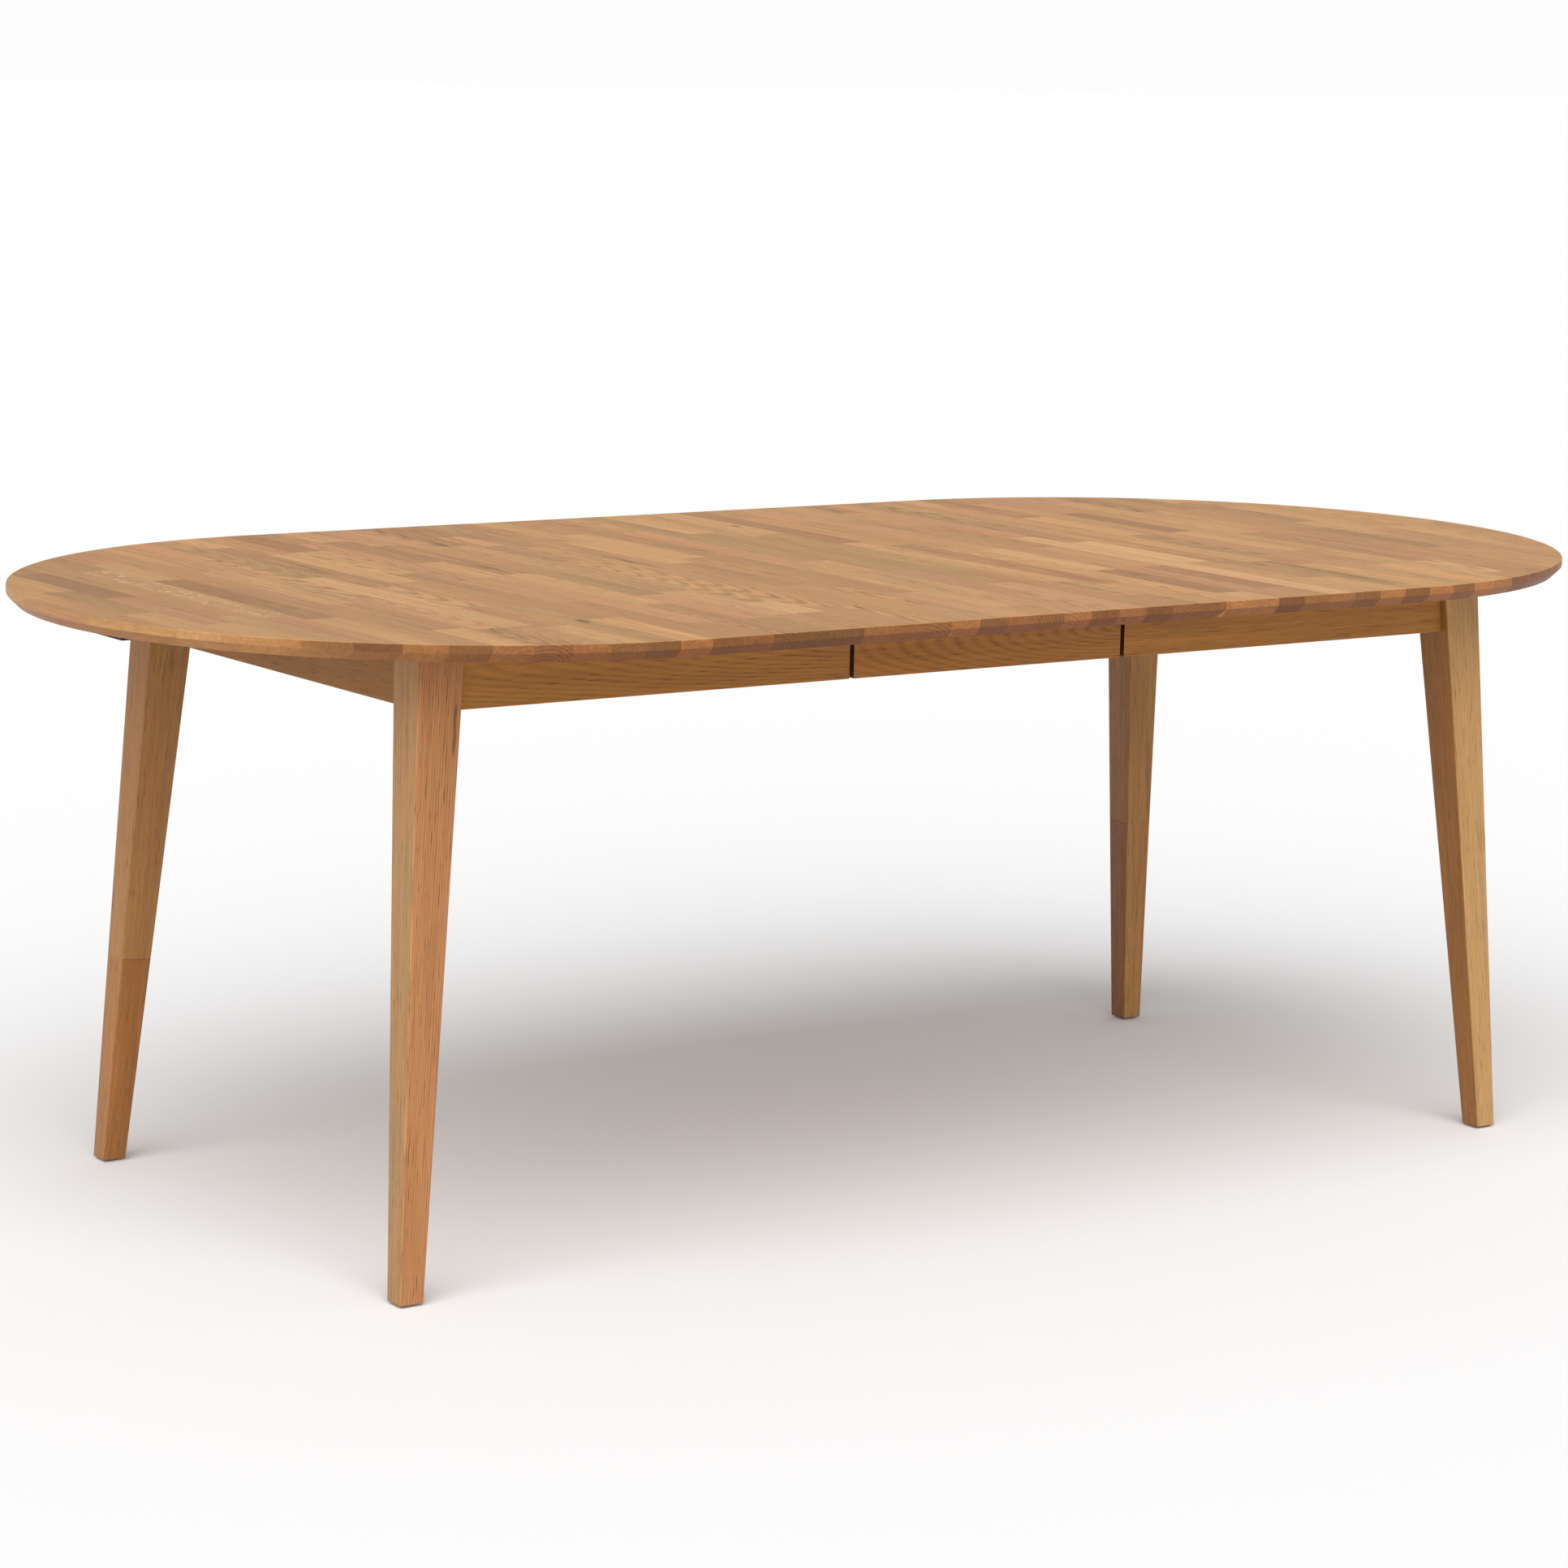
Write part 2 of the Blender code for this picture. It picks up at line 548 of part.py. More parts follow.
def tongue_outline():
    """Return a centre member's section, with a dovetail tongue on both sides."""
    half, middle = RUNNER_WIDTH / 2, RUNNER_HEIGHT / 2
    root, tip, reach = TONGUE_ROOT / 2, TONGUE_TIP / 2, RUNNER_WIDTH / 2 + TONGUE_DEPTH
    top = RUNNER_HEIGHT - RUNNER_DROP
    return [(-half, 0), (half, 0), (half, middle - root), (reach, middle - tip),
            (reach, middle + tip), (half, middle + root), (half, top), (-half, top),
            (-half, middle + root), (-reach, middle + tip), (-reach, middle - tip),
            (-half, middle - root)]


def fixed_runners(side):
    """Make a half's two runner members, with a stop plate across the end of each."""
    sign = SIDES[side]
    for face, sign_y in FACES.items():
        lane = RUNNER_Y + (MEMBER_PITCH if side == "left" else -MEMBER_PITCH)
        away = sign_y if side == "left" else -sign_y
        outer_y = sign_y * lane + away * RUNNER_WIDTH / 2
        turn = ALONG_X if away < 0 else Matrix.Rotation(math.pi, 4, "Z") @ ALONG_X
        where = (sign * (FIXED_RUNNER_END - RUNNER_LENGTH / 2), outer_y, RUNNER_BOTTOM)
        name = f"runner_{side}_{face}"
        add_part(name, prism_mesh(name, groove_outline(), RUNNER_LENGTH), "stained_wood", side,
                 Matrix.Translation(where) @ turn)
        plate_top = RUNNER_BOTTOM - CLEAR
        low, high = sorted_box(
            (sign * STOP_PLATE_X - STOP_PLATE_LENGTH / 2, outer_y, plate_top),
            (sign * STOP_PLATE_X + STOP_PLATE_LENGTH / 2, outer_y - away * 2 * MEMBER_PITCH,
             plate_top - STOP_PLATE_THICKNESS))
        name = f"stop_plate_{side}_{face}"
        add_part(name, mesh_from(box_form(low, high), name), "zinc_steel", side)


def centre_runners():
    """Make the two centre members, each with two pins that meet the stop plates."""
    for face, sign_y in FACES.items():
        name = f"runner_centre_{face}"
        pose = Matrix.Translation((0, sign_y * RUNNER_Y, RUNNER_BOTTOM)) @ ALONG_X
        member = add_part(name, prism_mesh(name, tongue_outline(), RUNNER_LENGTH),
                          "stained_wood", CENTRE_BODY, pose)
        starts = []
        for side, sign_x in SIDES.items():
            start = (sign_x * STOP_PIN_X, sign_y * RUNNER_Y, RUNNER_BOTTOM - STOP_PIN_BELOW)
            starts.append(aim(start, UP))
            pin = rod_mesh("stop_pin", STOP_PIN_RADIUS, STOP_PIN_LENGTH, PIN_STEPS)
            add_part(f"stop_pin_{side}_{face}", pin, "zinc_steel", CENTRE_BODY, starts[-1])
        hole = rod_mesh("stop_pin_hole", STOP_PIN_RADIUS + CLEAR, STOP_PIN_LENGTH + CLEAR, PIN_STEPS)
        cut([member], f"stop_pin_holes_{face}", copies("stop_pin_holes", hole, starts))


# ---- The leaf's aprons -------------------------------------------------------------------------
def leaf_aprons():
    """Make the length of apron under each end of the leaf, and the cleat that holds it."""
    start = -LEAF_SPAN / 2 + APRON_SHIFT + APRON_GAP / 2
    end = LEAF_SPAN / 2 + APRON_SHIFT - APRON_GAP / 2
    for face, sign_y in FACES.items():
        low, high = sorted_box((start, sign_y * APRON_INNER_Y, APRON_BOTTOM),
                               (end, sign_y * APRON_FACE_Y, UNDER_TOP))
        form = box_form(low, high)
        ease_lower(form)
        name = f"leaf_apron_{face}"
        add_part(name, mesh_from(form, name), "oak_frame", LEAF_BODY)
        cleat(f"leaf_cleat_{face}", -LEAF_CLEAT_SPAN, LEAF_CLEAT_SPAN, sign_y, LEAF_BODY)


# ---- Assembly ----------------------------------------------------------------------------------
def build_half(side):
    """Build a half: its top, two legs, frame, fixings and runner members."""
    top = half_top(side)
    alignment_pins(side, top)
    legs = [leg(side, face) for face in FACES]
    for face, leg_part in zip(FACES, legs):
        foot_glide(side, face, leg_part)
        side_apron(side, face)
        cleat(f"apron_cleat_{face}_{side}", SIDES[side] * CLEAT_SPAN[0],
              SIDES[side] * CLEAT_SPAN[1], FACES[face], side)
    end_apron(side)
    braces = [corner_brace(side, face) for face in FACES]
    leg_fixings(side, legs, braces)
    support_batten(side)
    fixed_runners(side)


add_body("left", (0.0, 0.0, 0.0))
add_body("right", (LEAF_SPAN / 2, 0.0, TOP_UNDERSIDE))
add_body(CENTRE_BODY, (0.0, 0.0, RUNNER_BOTTOM + RUNNER_HEIGHT / 2))
add_body(LEAF_BODY, (0.0, 0.0, TABLE_HEIGHT))
for half in SIDES:
    build_half(half)
centre_runners()
leaf_top()
leaf_aprons()
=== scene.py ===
# %% [markdown]
# # An extendable oak table, dressed for its portrait
# The table's working parts come packed as a fixed frame: tops, legs, aprons, runners, bolts and pins,
# each one where it belongs. This lesson gives them their looks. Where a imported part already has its
# real shape it stays, and gets a better finish. Where the real thing has finer forms, such as the
# glued staves of the top or the thread of a bolt, a new piece is modelled and stands for the part.

# %% Load the frame
import json
import math
import random

import bmesh
import bpy
from mathutils import Matrix, Vector

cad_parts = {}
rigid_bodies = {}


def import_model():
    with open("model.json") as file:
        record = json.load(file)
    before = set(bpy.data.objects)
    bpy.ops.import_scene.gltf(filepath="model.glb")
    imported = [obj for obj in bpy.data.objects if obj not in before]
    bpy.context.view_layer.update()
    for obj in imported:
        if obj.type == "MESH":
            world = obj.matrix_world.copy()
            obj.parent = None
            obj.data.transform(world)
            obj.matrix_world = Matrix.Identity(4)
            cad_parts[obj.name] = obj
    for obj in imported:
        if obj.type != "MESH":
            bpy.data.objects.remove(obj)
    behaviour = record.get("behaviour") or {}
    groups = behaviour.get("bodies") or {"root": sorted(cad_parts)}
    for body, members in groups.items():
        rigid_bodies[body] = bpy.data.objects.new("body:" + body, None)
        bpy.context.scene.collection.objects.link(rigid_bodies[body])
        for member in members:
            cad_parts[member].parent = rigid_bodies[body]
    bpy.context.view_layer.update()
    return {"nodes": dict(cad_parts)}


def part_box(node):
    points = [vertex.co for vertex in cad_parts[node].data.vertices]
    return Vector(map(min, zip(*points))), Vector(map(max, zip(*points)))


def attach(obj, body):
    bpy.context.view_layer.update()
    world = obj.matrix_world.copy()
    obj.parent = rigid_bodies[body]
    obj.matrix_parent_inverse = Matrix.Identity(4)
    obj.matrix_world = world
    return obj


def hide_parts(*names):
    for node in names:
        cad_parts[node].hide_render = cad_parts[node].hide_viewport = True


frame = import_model()

# %% [markdown]
# ## Measuring the frame
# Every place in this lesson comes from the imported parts, so a new piece always fits. A box around a
# part gives its lowest and highest corner, and from a few of them follow the sizes that the tops,
# the legs and the fixings share.

# %% Take the shared sizes from the frame
SIDES = {"left": -1, "right": 1}
FACES = {"front": -1, "rear": 1}


def centre_of(node):
    """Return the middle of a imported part."""
    low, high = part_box(node)
    return (low + high) / 2


leaf_low, leaf_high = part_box("extension_leaf")
half_low, half_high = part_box("half_top_right")
table_height = half_high.z
top_thickness = half_high.z - half_low.z
top_radius = (half_high.y - half_low.y) / 2
joint_x = half_low.x
round_centre_x = half_high.x - top_radius
leaf_half_width = leaf_high.y
print("top:", round(2 * half_high.x, 4), "x", round(2 * top_radius, 4), "x", round(top_thickness, 4))

# %% [markdown]
# ## Small tools for working in edit mode
# An operator acts on whatever is selected, so each step starts with nothing selected and then picks
# faces or edges by where they are. Doing that in code, and not by index numbers, keeps a step right
# when an earlier one changes.


# %% Select, edit and finish
def clear_selection():
    """Leave edit mode and select nothing."""
    if bpy.context.mode != "OBJECT":
        bpy.ops.object.mode_set(mode="OBJECT")
    bpy.ops.object.select_all(action="DESELECT")


def name_piece(name):
    """Name the new primitive, put its place into its mesh, and open it in edit mode."""
    piece = bpy.context.active_object
    piece.name = name
    piece.data.name = name
    bpy.ops.object.transform_apply(location=True, rotation=True, scale=True)
    bpy.ops.object.mode_set(mode="EDIT")
    return piece


def pick(piece, kind, test):
    """In edit mode, select the faces, edges or vertices that pass a test, and nothing else."""
    bpy.ops.mesh.select_mode(type=kind)
    bpy.ops.mesh.select_all(action="DESELECT")
    form = bmesh.from_edit_mesh(piece.data)
    parts = {"VERT": form.verts, "EDGE": form.edges, "FACE": form.faces}[kind]
    for part in parts:
        part.select_set(bool(test(part)))
    form.select_flush_mode()
    bmesh.update_edit_mesh(piece.data)


def middle(part):
    """Return the middle of an edge or a face."""
    return sum((vert.co for vert in part.verts), Vector()) / len(part.verts)


def push(offset):
    """Extrude what is selected along an offset."""
    bpy.ops.mesh.extrude_region_move(TRANSFORM_OT_translate={"value": offset})


def close_up():
    """Weld doubled points and turn every face outwards."""
    bpy.ops.mesh.select_all(action="SELECT")
    bpy.ops.mesh.remove_doubles(threshold=0.00001)
    bpy.ops.mesh.normals_make_consistent(inside=False)


SMOOTH_ANGLE = math.radians(35)


def finish_piece(piece, material, body, stands_for=()):
    """Shade a piece, give it its finish, and hang it on the body that it moves with."""
    clear_selection()
    piece.select_set(True)
    bpy.context.view_layer.objects.active = piece
    bpy.ops.object.shade_smooth_by_angle(angle=SMOOTH_ANGLE)
    flatten = piece.modifiers.new("keep_large_faces_flat", "WEIGHTED_NORMAL")
    flatten.keep_sharp = True
    bpy.ops.object.modifier_apply(modifier=flatten.name)
    piece.data.materials.clear()
    piece.data.materials.append(material)
    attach(piece, body)
    if stands_for:
        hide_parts(*stands_for)
    return piece


def carve(piece, cutter, operation="DIFFERENCE"):
    """Apply a Boolean with a cutter, then remove the cutter."""
    clear_selection()
    piece.select_set(True)
    bpy.context.view_layer.objects.active = piece
    boolean = piece.modifiers.new("carve", "BOOLEAN")
    boolean.operation = operation
    boolean.object = cutter
    bpy.ops.object.modifier_apply(modifier=boolean.name)
    bpy.data.objects.remove(cutter)


# %% [markdown]
# ## Small tools for building a finish
# A finish is a tree of nodes. One helper adds a node, feeds its inputs in order and hands back its
# first output, so that a tree reads like a recipe from the top down.


# %% Add nodes in a line or two
def feed(tree, socket, value):
    """Link a socket to an output, or set it to a plain value."""
    if isinstance(value, bpy.types.NodeSocket):
        tree.links.new(value, socket)
    else:
        socket.default_value = value


def add(tree, kind, *values, **settings):
    """Add a node, feed its inputs in order, and return its first output."""
    made = tree.nodes.new("ShaderNode" + kind)
    for setting, choice in settings.items():
        setattr(made, setting, choice)
    for socket, value in zip(made.inputs, values):
        feed(tree, socket, value)
    return made.outputs[0]


def maths(tree, operation, *values):
    """Add a Math node."""
    return add(tree, "Math", *values, operation=operation)


def split(tree, vector):
    """Return the X, Y and Z outputs of a vector."""
    return add(tree, "SeparateXYZ", vector).node.outputs


def length(tree, vector):
    """Return the length of a vector."""
    return add(tree, "VectorMath", vector, operation="LENGTH").node.outputs["Value"]


def lighten(tree, colour, share):
    """Make a colour lighter or darker by a share."""
    scaled = add(tree, "VectorMath", colour, operation="SCALE")
    feed(tree, scaled.node.inputs["Scale"], share)
    return scaled


def noise(tree, place, scale=1.0, detail=2.0, distortion=0.0):
    """Return a noise from 0 to 1."""
    made = tree.nodes.new("ShaderNodeTexNoise")
    feed(tree, made.inputs["Vector"], place)
    made.inputs["Scale"].default_value = scale
    made.inputs["Detail"].default_value = detail
    made.inputs["Distortion"].default_value = distortion
    return made.outputs["Fac"]


def stretched_noise(tree, place, across, along, detail):
    """Return a centred noise, from about -0.5 to 0.5, drawn out along the fibre."""
    scaled = add(tree, "VectorMath", place, (across, across, along), operation="MULTIPLY")
    return maths(tree, "SUBTRACT", noise(tree, scaled, detail=detail), 0.5)


def ramp(tree, value, low, high, start=0.0, end=1.0):
    """Return a smooth step from the start at the low value to the end at the high one."""
    step = tree.nodes.new("ShaderNodeMapRange")
    step.interpolation_type = "SMOOTHSTEP"
    inputs = {"Value": value, "From Min": low, "From Max": high, "To Min": start, "To Max": end}
    for name, given_value in inputs.items():
        feed(tree, step.inputs[name], given_value)
    return step.outputs["Result"]


def mix_colour(tree, share, under, over, blend="MIX"):
    """Lay one colour over another by a share."""
    mix = tree.nodes.new("ShaderNodeMix")
    mix.data_type = "RGBA"
    mix.blend_type = blend
    for socket, value in ((mix.inputs[0], share), (mix.inputs[6], under), (mix.inputs[7], over)):
        feed(tree, socket, value)
    return mix.outputs[2]


def stain(tree, share, colour, stain_colour):
    """Multiply a colour by another colour, by a share: it serves real tone and stain, and painted shade
    too.
    """
    return mix_colour(tree, share, colour, mix_colour(tree, 1.0, colour, stain_colour, "MULTIPLY"))


def facing(tree):
    """Return how far the surface looks along X, Y and Z."""
    return split(tree, tree.nodes.new("ShaderNodeNewGeometry").outputs["Normal"])


def object_place(tree):
    """Return the place of a point on the piece, in the frame's own metres."""
    return tree.nodes.new("ShaderNodeTexCoord").outputs["Object"]


def roughen(tree, shader, height, strength, distance):
    """Give a shader a fine relief."""
    bump = tree.nodes.new("ShaderNodeBump")
    bump.inputs["Strength"].default_value = strength
    bump.inputs["Distance"].default_value = distance
    tree.links.new(height, bump.inputs["Height"])
    tree.links.new(bump.outputs["Normal"], shader.inputs["Normal"])


# %% [markdown]
# ## Oak, from the inside out
# A picture of wood grain only looks right on one face. Real grain is a solid thing: rings around the
# pith, drawn out along the fibre, and every face of a board is a slice through them. So the oak here
# is a solid pattern. It takes a point as measured from the pith, with the fibre along Z, works out
# which ring the point lies in, and lets the slice decide what shows: arches where a face cuts the
# rings at a low angle, straight lines where it cuts them square, and arcs on the end grain.
#
# Oak's early wood is full of long open pores, which show as fine dark dashes. The pattern adds them
# mostly inside the early half of each ring, and then a little mottling, rare dark streaks and pin
# knots, because no board is even.

# %% Give the oak pattern its sockets
oak_group = bpy.data.node_groups.new("oak_pattern", "ShaderNodeTree")
OAK_INPUTS = {"Place": "Vector", "Log": "Vector", "Lean": "Float", "Tint": "Color", "Figure": "Float",
              "Ring": "Float"}
OAK_OUTPUTS = {"Color": "Color", "Roughness": "Float", "Height": "Float"}
for in_out, sockets in (("INPUT", OAK_INPUTS), ("OUTPUT", OAK_OUTPUTS)):
    for socket_name, socket_kind in sockets.items():
        oak_group.interface.new_socket(socket_name, in_out=in_out,
                                       socket_type="NodeSocket" + socket_kind)
taken = oak_group.nodes.new("NodeGroupInput").outputs
given = oak_group.nodes.new("NodeGroupOutput").inputs
in_log = add(oak_group, "VectorMath", taken["Place"], taken["Log"], operation="ADD")

# %% Find the ring that a point lies in
WANDER = 0.020            # how far a ring strays over a few hands' breadths
RIPPLE = 0.0016           # and over a finger's breadth
EARLY_MIDDLE = 0.4        # where in a ring its early wood is most open

stray = maths(oak_group, "MULTIPLY", stretched_noise(oak_group, in_log, 7.0, 1.9, 1.0), WANDER)
ripple = maths(oak_group, "MULTIPLY", stretched_noise(oak_group, in_log, 60.0, 11.0, 2.0), RIPPLE)
aside, behind, along = split(oak_group, taken["Place"])
behind = maths(oak_group, "ADD", behind, maths(oak_group, "MULTIPLY", along, taken["Lean"]))
behind = maths(oak_group, "ADD", behind, stray)
aside = maths(oak_group, "ADD", aside, ripple)
radius = length(oak_group, add(oak_group, "CombineXYZ", aside, behind, 0.0))
ring = maths(oak_group, "FRACT", maths(oak_group, "DIVIDE", radius, taken["Ring"]))
from_middle = maths(oak_group, "ABSOLUTE", maths(oak_group, "SUBTRACT", ring, EARLY_MIDDLE))
early = maths(oak_group, "SUBTRACT", 1.0, maths(oak_group, "DIVIDE", from_middle, EARLY_MIDDLE))
early = maths(oak_group, "MULTIPLY", ramp(oak_group, early, 0.0, 1.0), taken["Figure"])

# %% Add pores, mottling, streaks and knots
pores = ramp(oak_group, stretched_noise(oak_group, in_log, 950.0, 34.0, 1.0), 0.06, 0.20)
pores = maths(oak_group, "MULTIPLY", pores, maths(oak_group, "ADD", early, 0.30))
fibre = stretched_noise(oak_group, in_log, 170.0, 5.0, 2.5)
mottle = stretched_noise(oak_group, in_log, 26.0, 2.6, 2.0)
warmth = ramp(oak_group, stretched_noise(oak_group, in_log, 17.0, 1.7, 1.0), 0.02, 0.25)
streak = ramp(oak_group, stretched_noise(oak_group, in_log, 52.0, 2.1, 1.0), 0.23, 0.33)
cells = oak_group.nodes.new("ShaderNodeTexVoronoi")
cells.inputs["Scale"].default_value = 1.0
stretched_log = add(oak_group, "VectorMath", in_log, (7.0, 7.0, 2.4), operation="MULTIPLY")
feed(oak_group, cells.inputs["Vector"], stretched_log)
knot = ramp(oak_group, cells.outputs["Distance"], 0.020, 0.048, start=1.0, end=0.0)

# %% Turn the pattern into light and dark, and then into colour
BASE_LIGHT, FIBRE_LIGHT, MOTTLE_LIGHT = 1.05, 0.62, 0.24
PORE_DARK, RING_DARK = 0.36, 0.20
WARM_SHARE, STREAK_SHARE, KNOT_SHARE = 0.75, 0.42, 0.75
WARM_COLOUR = (1.04, 0.94, 0.90, 1.0)
STREAK_COLOUR = (0.150, 0.075, 0.035, 1.0)
KNOT_COLOUR = (0.080, 0.036, 0.016, 1.0)

light = maths(oak_group, "MULTIPLY_ADD", fibre, FIBRE_LIGHT, BASE_LIGHT)
for share, strength in ((mottle, MOTTLE_LIGHT), (early, -RING_DARK), (pores, -PORE_DARK)):
    light = maths(oak_group, "MULTIPLY_ADD", share, strength, light)
warmth = maths(oak_group, "MULTIPLY", warmth, WARM_SHARE)
colour = lighten(oak_group, stain(oak_group, warmth, taken["Tint"], WARM_COLOUR), light)
for share, strength, over in ((streak, STREAK_SHARE, STREAK_COLOUR), (knot, KNOT_SHARE, KNOT_COLOUR)):
    colour = mix_colour(oak_group, maths(oak_group, "MULTIPLY", share, strength), colour, over)
feed(oak_group, given["Color"], colour)

# %% Add the roughness and the height of the pores
FIBRE_ROUGH, PORE_ROUGH, OILED_ROUGH = 0.15, 0.20, 0.50
EARLY_DEPTH = 0.25
roughness = maths(oak_group, "MULTIPLY_ADD", fibre, FIBRE_ROUGH, OILED_ROUGH)
roughness = maths(oak_group, "MULTIPLY_ADD", pores, PORE_ROUGH, roughness)
feed(oak_group, given["Roughness"], roughness)
height = maths(oak_group, "MULTIPLY", early, -EARLY_DEPTH)
height = maths(oak_group, "MULTIPLY_ADD", pores, -1.0, height)
feed(oak_group, given["Height"], height)
print("oak pattern:", len(oak_group.nodes), "nodes")

# %% [markdown]
# ## From a point on the table to a point in the log
# The pattern wants the fibre along Z. The top's staves run front to rear, side aprons run along the
# table, and each leg leans outwards, so a finish first turns its points. Swapping the three numbers
# is enough for boards that lie square. Only the legs need a real turn.


# %% Turn a board's points so that its fibre lies along Z
def fibre_along(tree, place, axis):
    """Return the place with the numbers swapped so that the fibre's axis comes last."""
    x, y, z = split(tree, place)
    order = {"X": (z, y, x), "Y": (x, z, y), "Z": (x, y, z)}[axis]
    return add(tree, "CombineXYZ", *order)


# %% Wire the oak pattern to a shader
OIL_GLOSS = 0.22
OAK_RELIEF, OAK_RELIEF_STRENGTH = 0.00018, 0.5


def new_material(name):
    """Return a material, its node tree and its Principled shader."""
    material = bpy.data.materials.new(name)
    material.use_nodes = True
    return material, material.node_tree, material.node_tree.nodes["Principled BSDF"]


def use_oak(tree, shader, **values):
    """Feed the oak pattern, wire it to a shader, and return its colour."""
    oak = tree.nodes.new("ShaderNodeGroup")
    oak.node_tree = oak_group
    for name, value in values.items():
        feed(tree, oak.inputs[name], value)
    shader.inputs["Specular IOR Level"].default_value = OIL_GLOSS
    feed(tree, shader.inputs["Roughness"], oak.outputs["Roughness"])
    roughen(tree, shader, oak.outputs["Height"], OAK_RELIEF_STRENGTH, OAK_RELIEF)
    return oak.outputs["Color"]


# %% [markdown]
# ## The finish of the glued top
# Each stave of the top was sawn from a different board, so each needs its own tint and its own place
# in a log. One way is to let the finish guess where staves begin and end. Here the mesh itself is cut
# along the glue lines, and every face carries its stave's values as attributes. The finish only reads
# them, and a stave can be chosen by hand.
#
# End grain drinks more oil than a face does, so the finish darkens faces that look along the fibre.
# The underside with its bevel is darkened too, evenly: that is painted shade, as if the floor sent little
# light up to it.

# %% Make the finish of the staves
END_GRAIN = (0.50, 0.38, 0.29, 1.0)
END_SPREAD = 0.65             # how much staves differ in the oil that their ends drink
# painted shade: the colour that darkens every face that looks down, the underside and its bevel
UNDERSIDE_PAINTED_SHADE = (0.78, 0.66, 0.54, 1.0)
STAVE_RING = 0.0045


def attribute(tree, name):
    """Return the vector output of an attribute of the mesh."""
    node = tree.nodes.new("ShaderNodeAttribute")
    node.attribute_name = name
    return node.outputs["Vector"]


def darken_ends_and_underside(tree, colour, log, looks):
    """Darken the end grain by a different share on each stave, and paint shade evenly on the underside."""
    end = ramp(tree, maths(tree, "ABSOLUTE", looks["Y"]), 0.35, 0.75)
    chance = tree.nodes.new("ShaderNodeTexWhiteNoise")
    feed(tree, chance.inputs["Vector"], log)
    thirst = maths(tree, "MULTIPLY_ADD", chance.outputs["Value"], END_SPREAD, 1.0 - END_SPREAD / 2)
    ended = lighten(tree, mix_colour(tree, 1.0, colour, END_GRAIN, "MULTIPLY"), thirst)
    colour = mix_colour(tree, end, colour, ended)
    # painted shade: faces that look down are darkened, as if little light came up from the floor
    below = ramp(tree, maths(tree, "MULTIPLY", looks["Z"], -1.0), 0.25, 0.60)
    return stain(tree, below, colour, UNDERSIDE_PAINTED_SHADE)


# %% Add ray flecks, and put the finish together
FLECK_COLOUR = (0.93, 0.70, 0.43, 1.0)
FLECK_SCALE = (70.0, 260.0, 60.0)


def add_flecks(tree, colour, place, flecked, looks):
    """Add ray flecks: short pale curls across the grain of a quarter-sawn stave."""
    scaled = add(tree, "VectorMath", place, FLECK_SCALE, operation="MULTIPLY")
    curls = ramp(tree, noise(tree, scaled, distortion=0.3), 0.62, 0.68)
    curls = maths(tree, "MULTIPLY", curls, flecked)
    curls = maths(tree, "MULTIPLY", curls, maths(tree, "GREATER_THAN", looks["Z"], 0.5))
    return mix_colour(tree, curls, colour, FLECK_COLOUR)


def stave_finish(name):
    """Make the oak of a glued top."""
    material, tree, shader = new_material(name)
    place = object_place(tree)
    looks = facing(tree)
    log = attribute(tree, "stave_log")
    lean, figure, flecked = split(tree, attribute(tree, "stave_extra"))
    from_pith = add(tree, "VectorMath", place, attribute(tree, "stave_pith"), operation="SUBTRACT")
    colour = use_oak(tree, shader, Place=fibre_along(tree, from_pith, "Y"), Log=log, Lean=lean,
                     Tint=attribute(tree, "stave_tint"), Figure=figure, Ring=STAVE_RING)
    colour = add_flecks(tree, colour, place, flecked, looks)
    colour = darken_ends_and_underside(tree, colour, log, looks)
    feed(tree, shader.inputs["Base Color"], colour)
    return material


top_oak = stave_finish("oiled_oak_staves")

# %% [markdown]
# ## The glued top: cutting a board into staves
# The real top is glued up from narrow staves that run across the table, butted end to end in strips,
# with no two end joints in line. A plan comes first: for each strip its edges, and along it the ends
# of its staves. Most lengths and tints are drawn at random from a fixed seed, so the table is the
# same each time. A few staves that catch the eye are listed one by one.

# %% Plan the staves
STAVE_WIDTH = (leaf_high.x - leaf_low.x) / 10
STAVE_LENGTHS = (0.17, 0.46)
PAST_EDGE = top_radius + 0.01
NEAR = 0.0001
TINTS = {
    "honey": (0.495, 0.256, 0.098),
    "straw": (0.540, 0.292, 0.115),
    "rose": (0.512, 0.256, 0.107),
    "tan": (0.445, 0.228, 0.087),
    "brown": (0.392, 0.195, 0.077),
    "olive": (0.425, 0.233, 0.085),
    "pale": (0.605, 0.334, 0.142),
}
USUAL_TINTS = ["honey"] * 7 + ["straw"] * 6 + ["rose"] * 4 + ["tan"] * 5 + ["olive"]

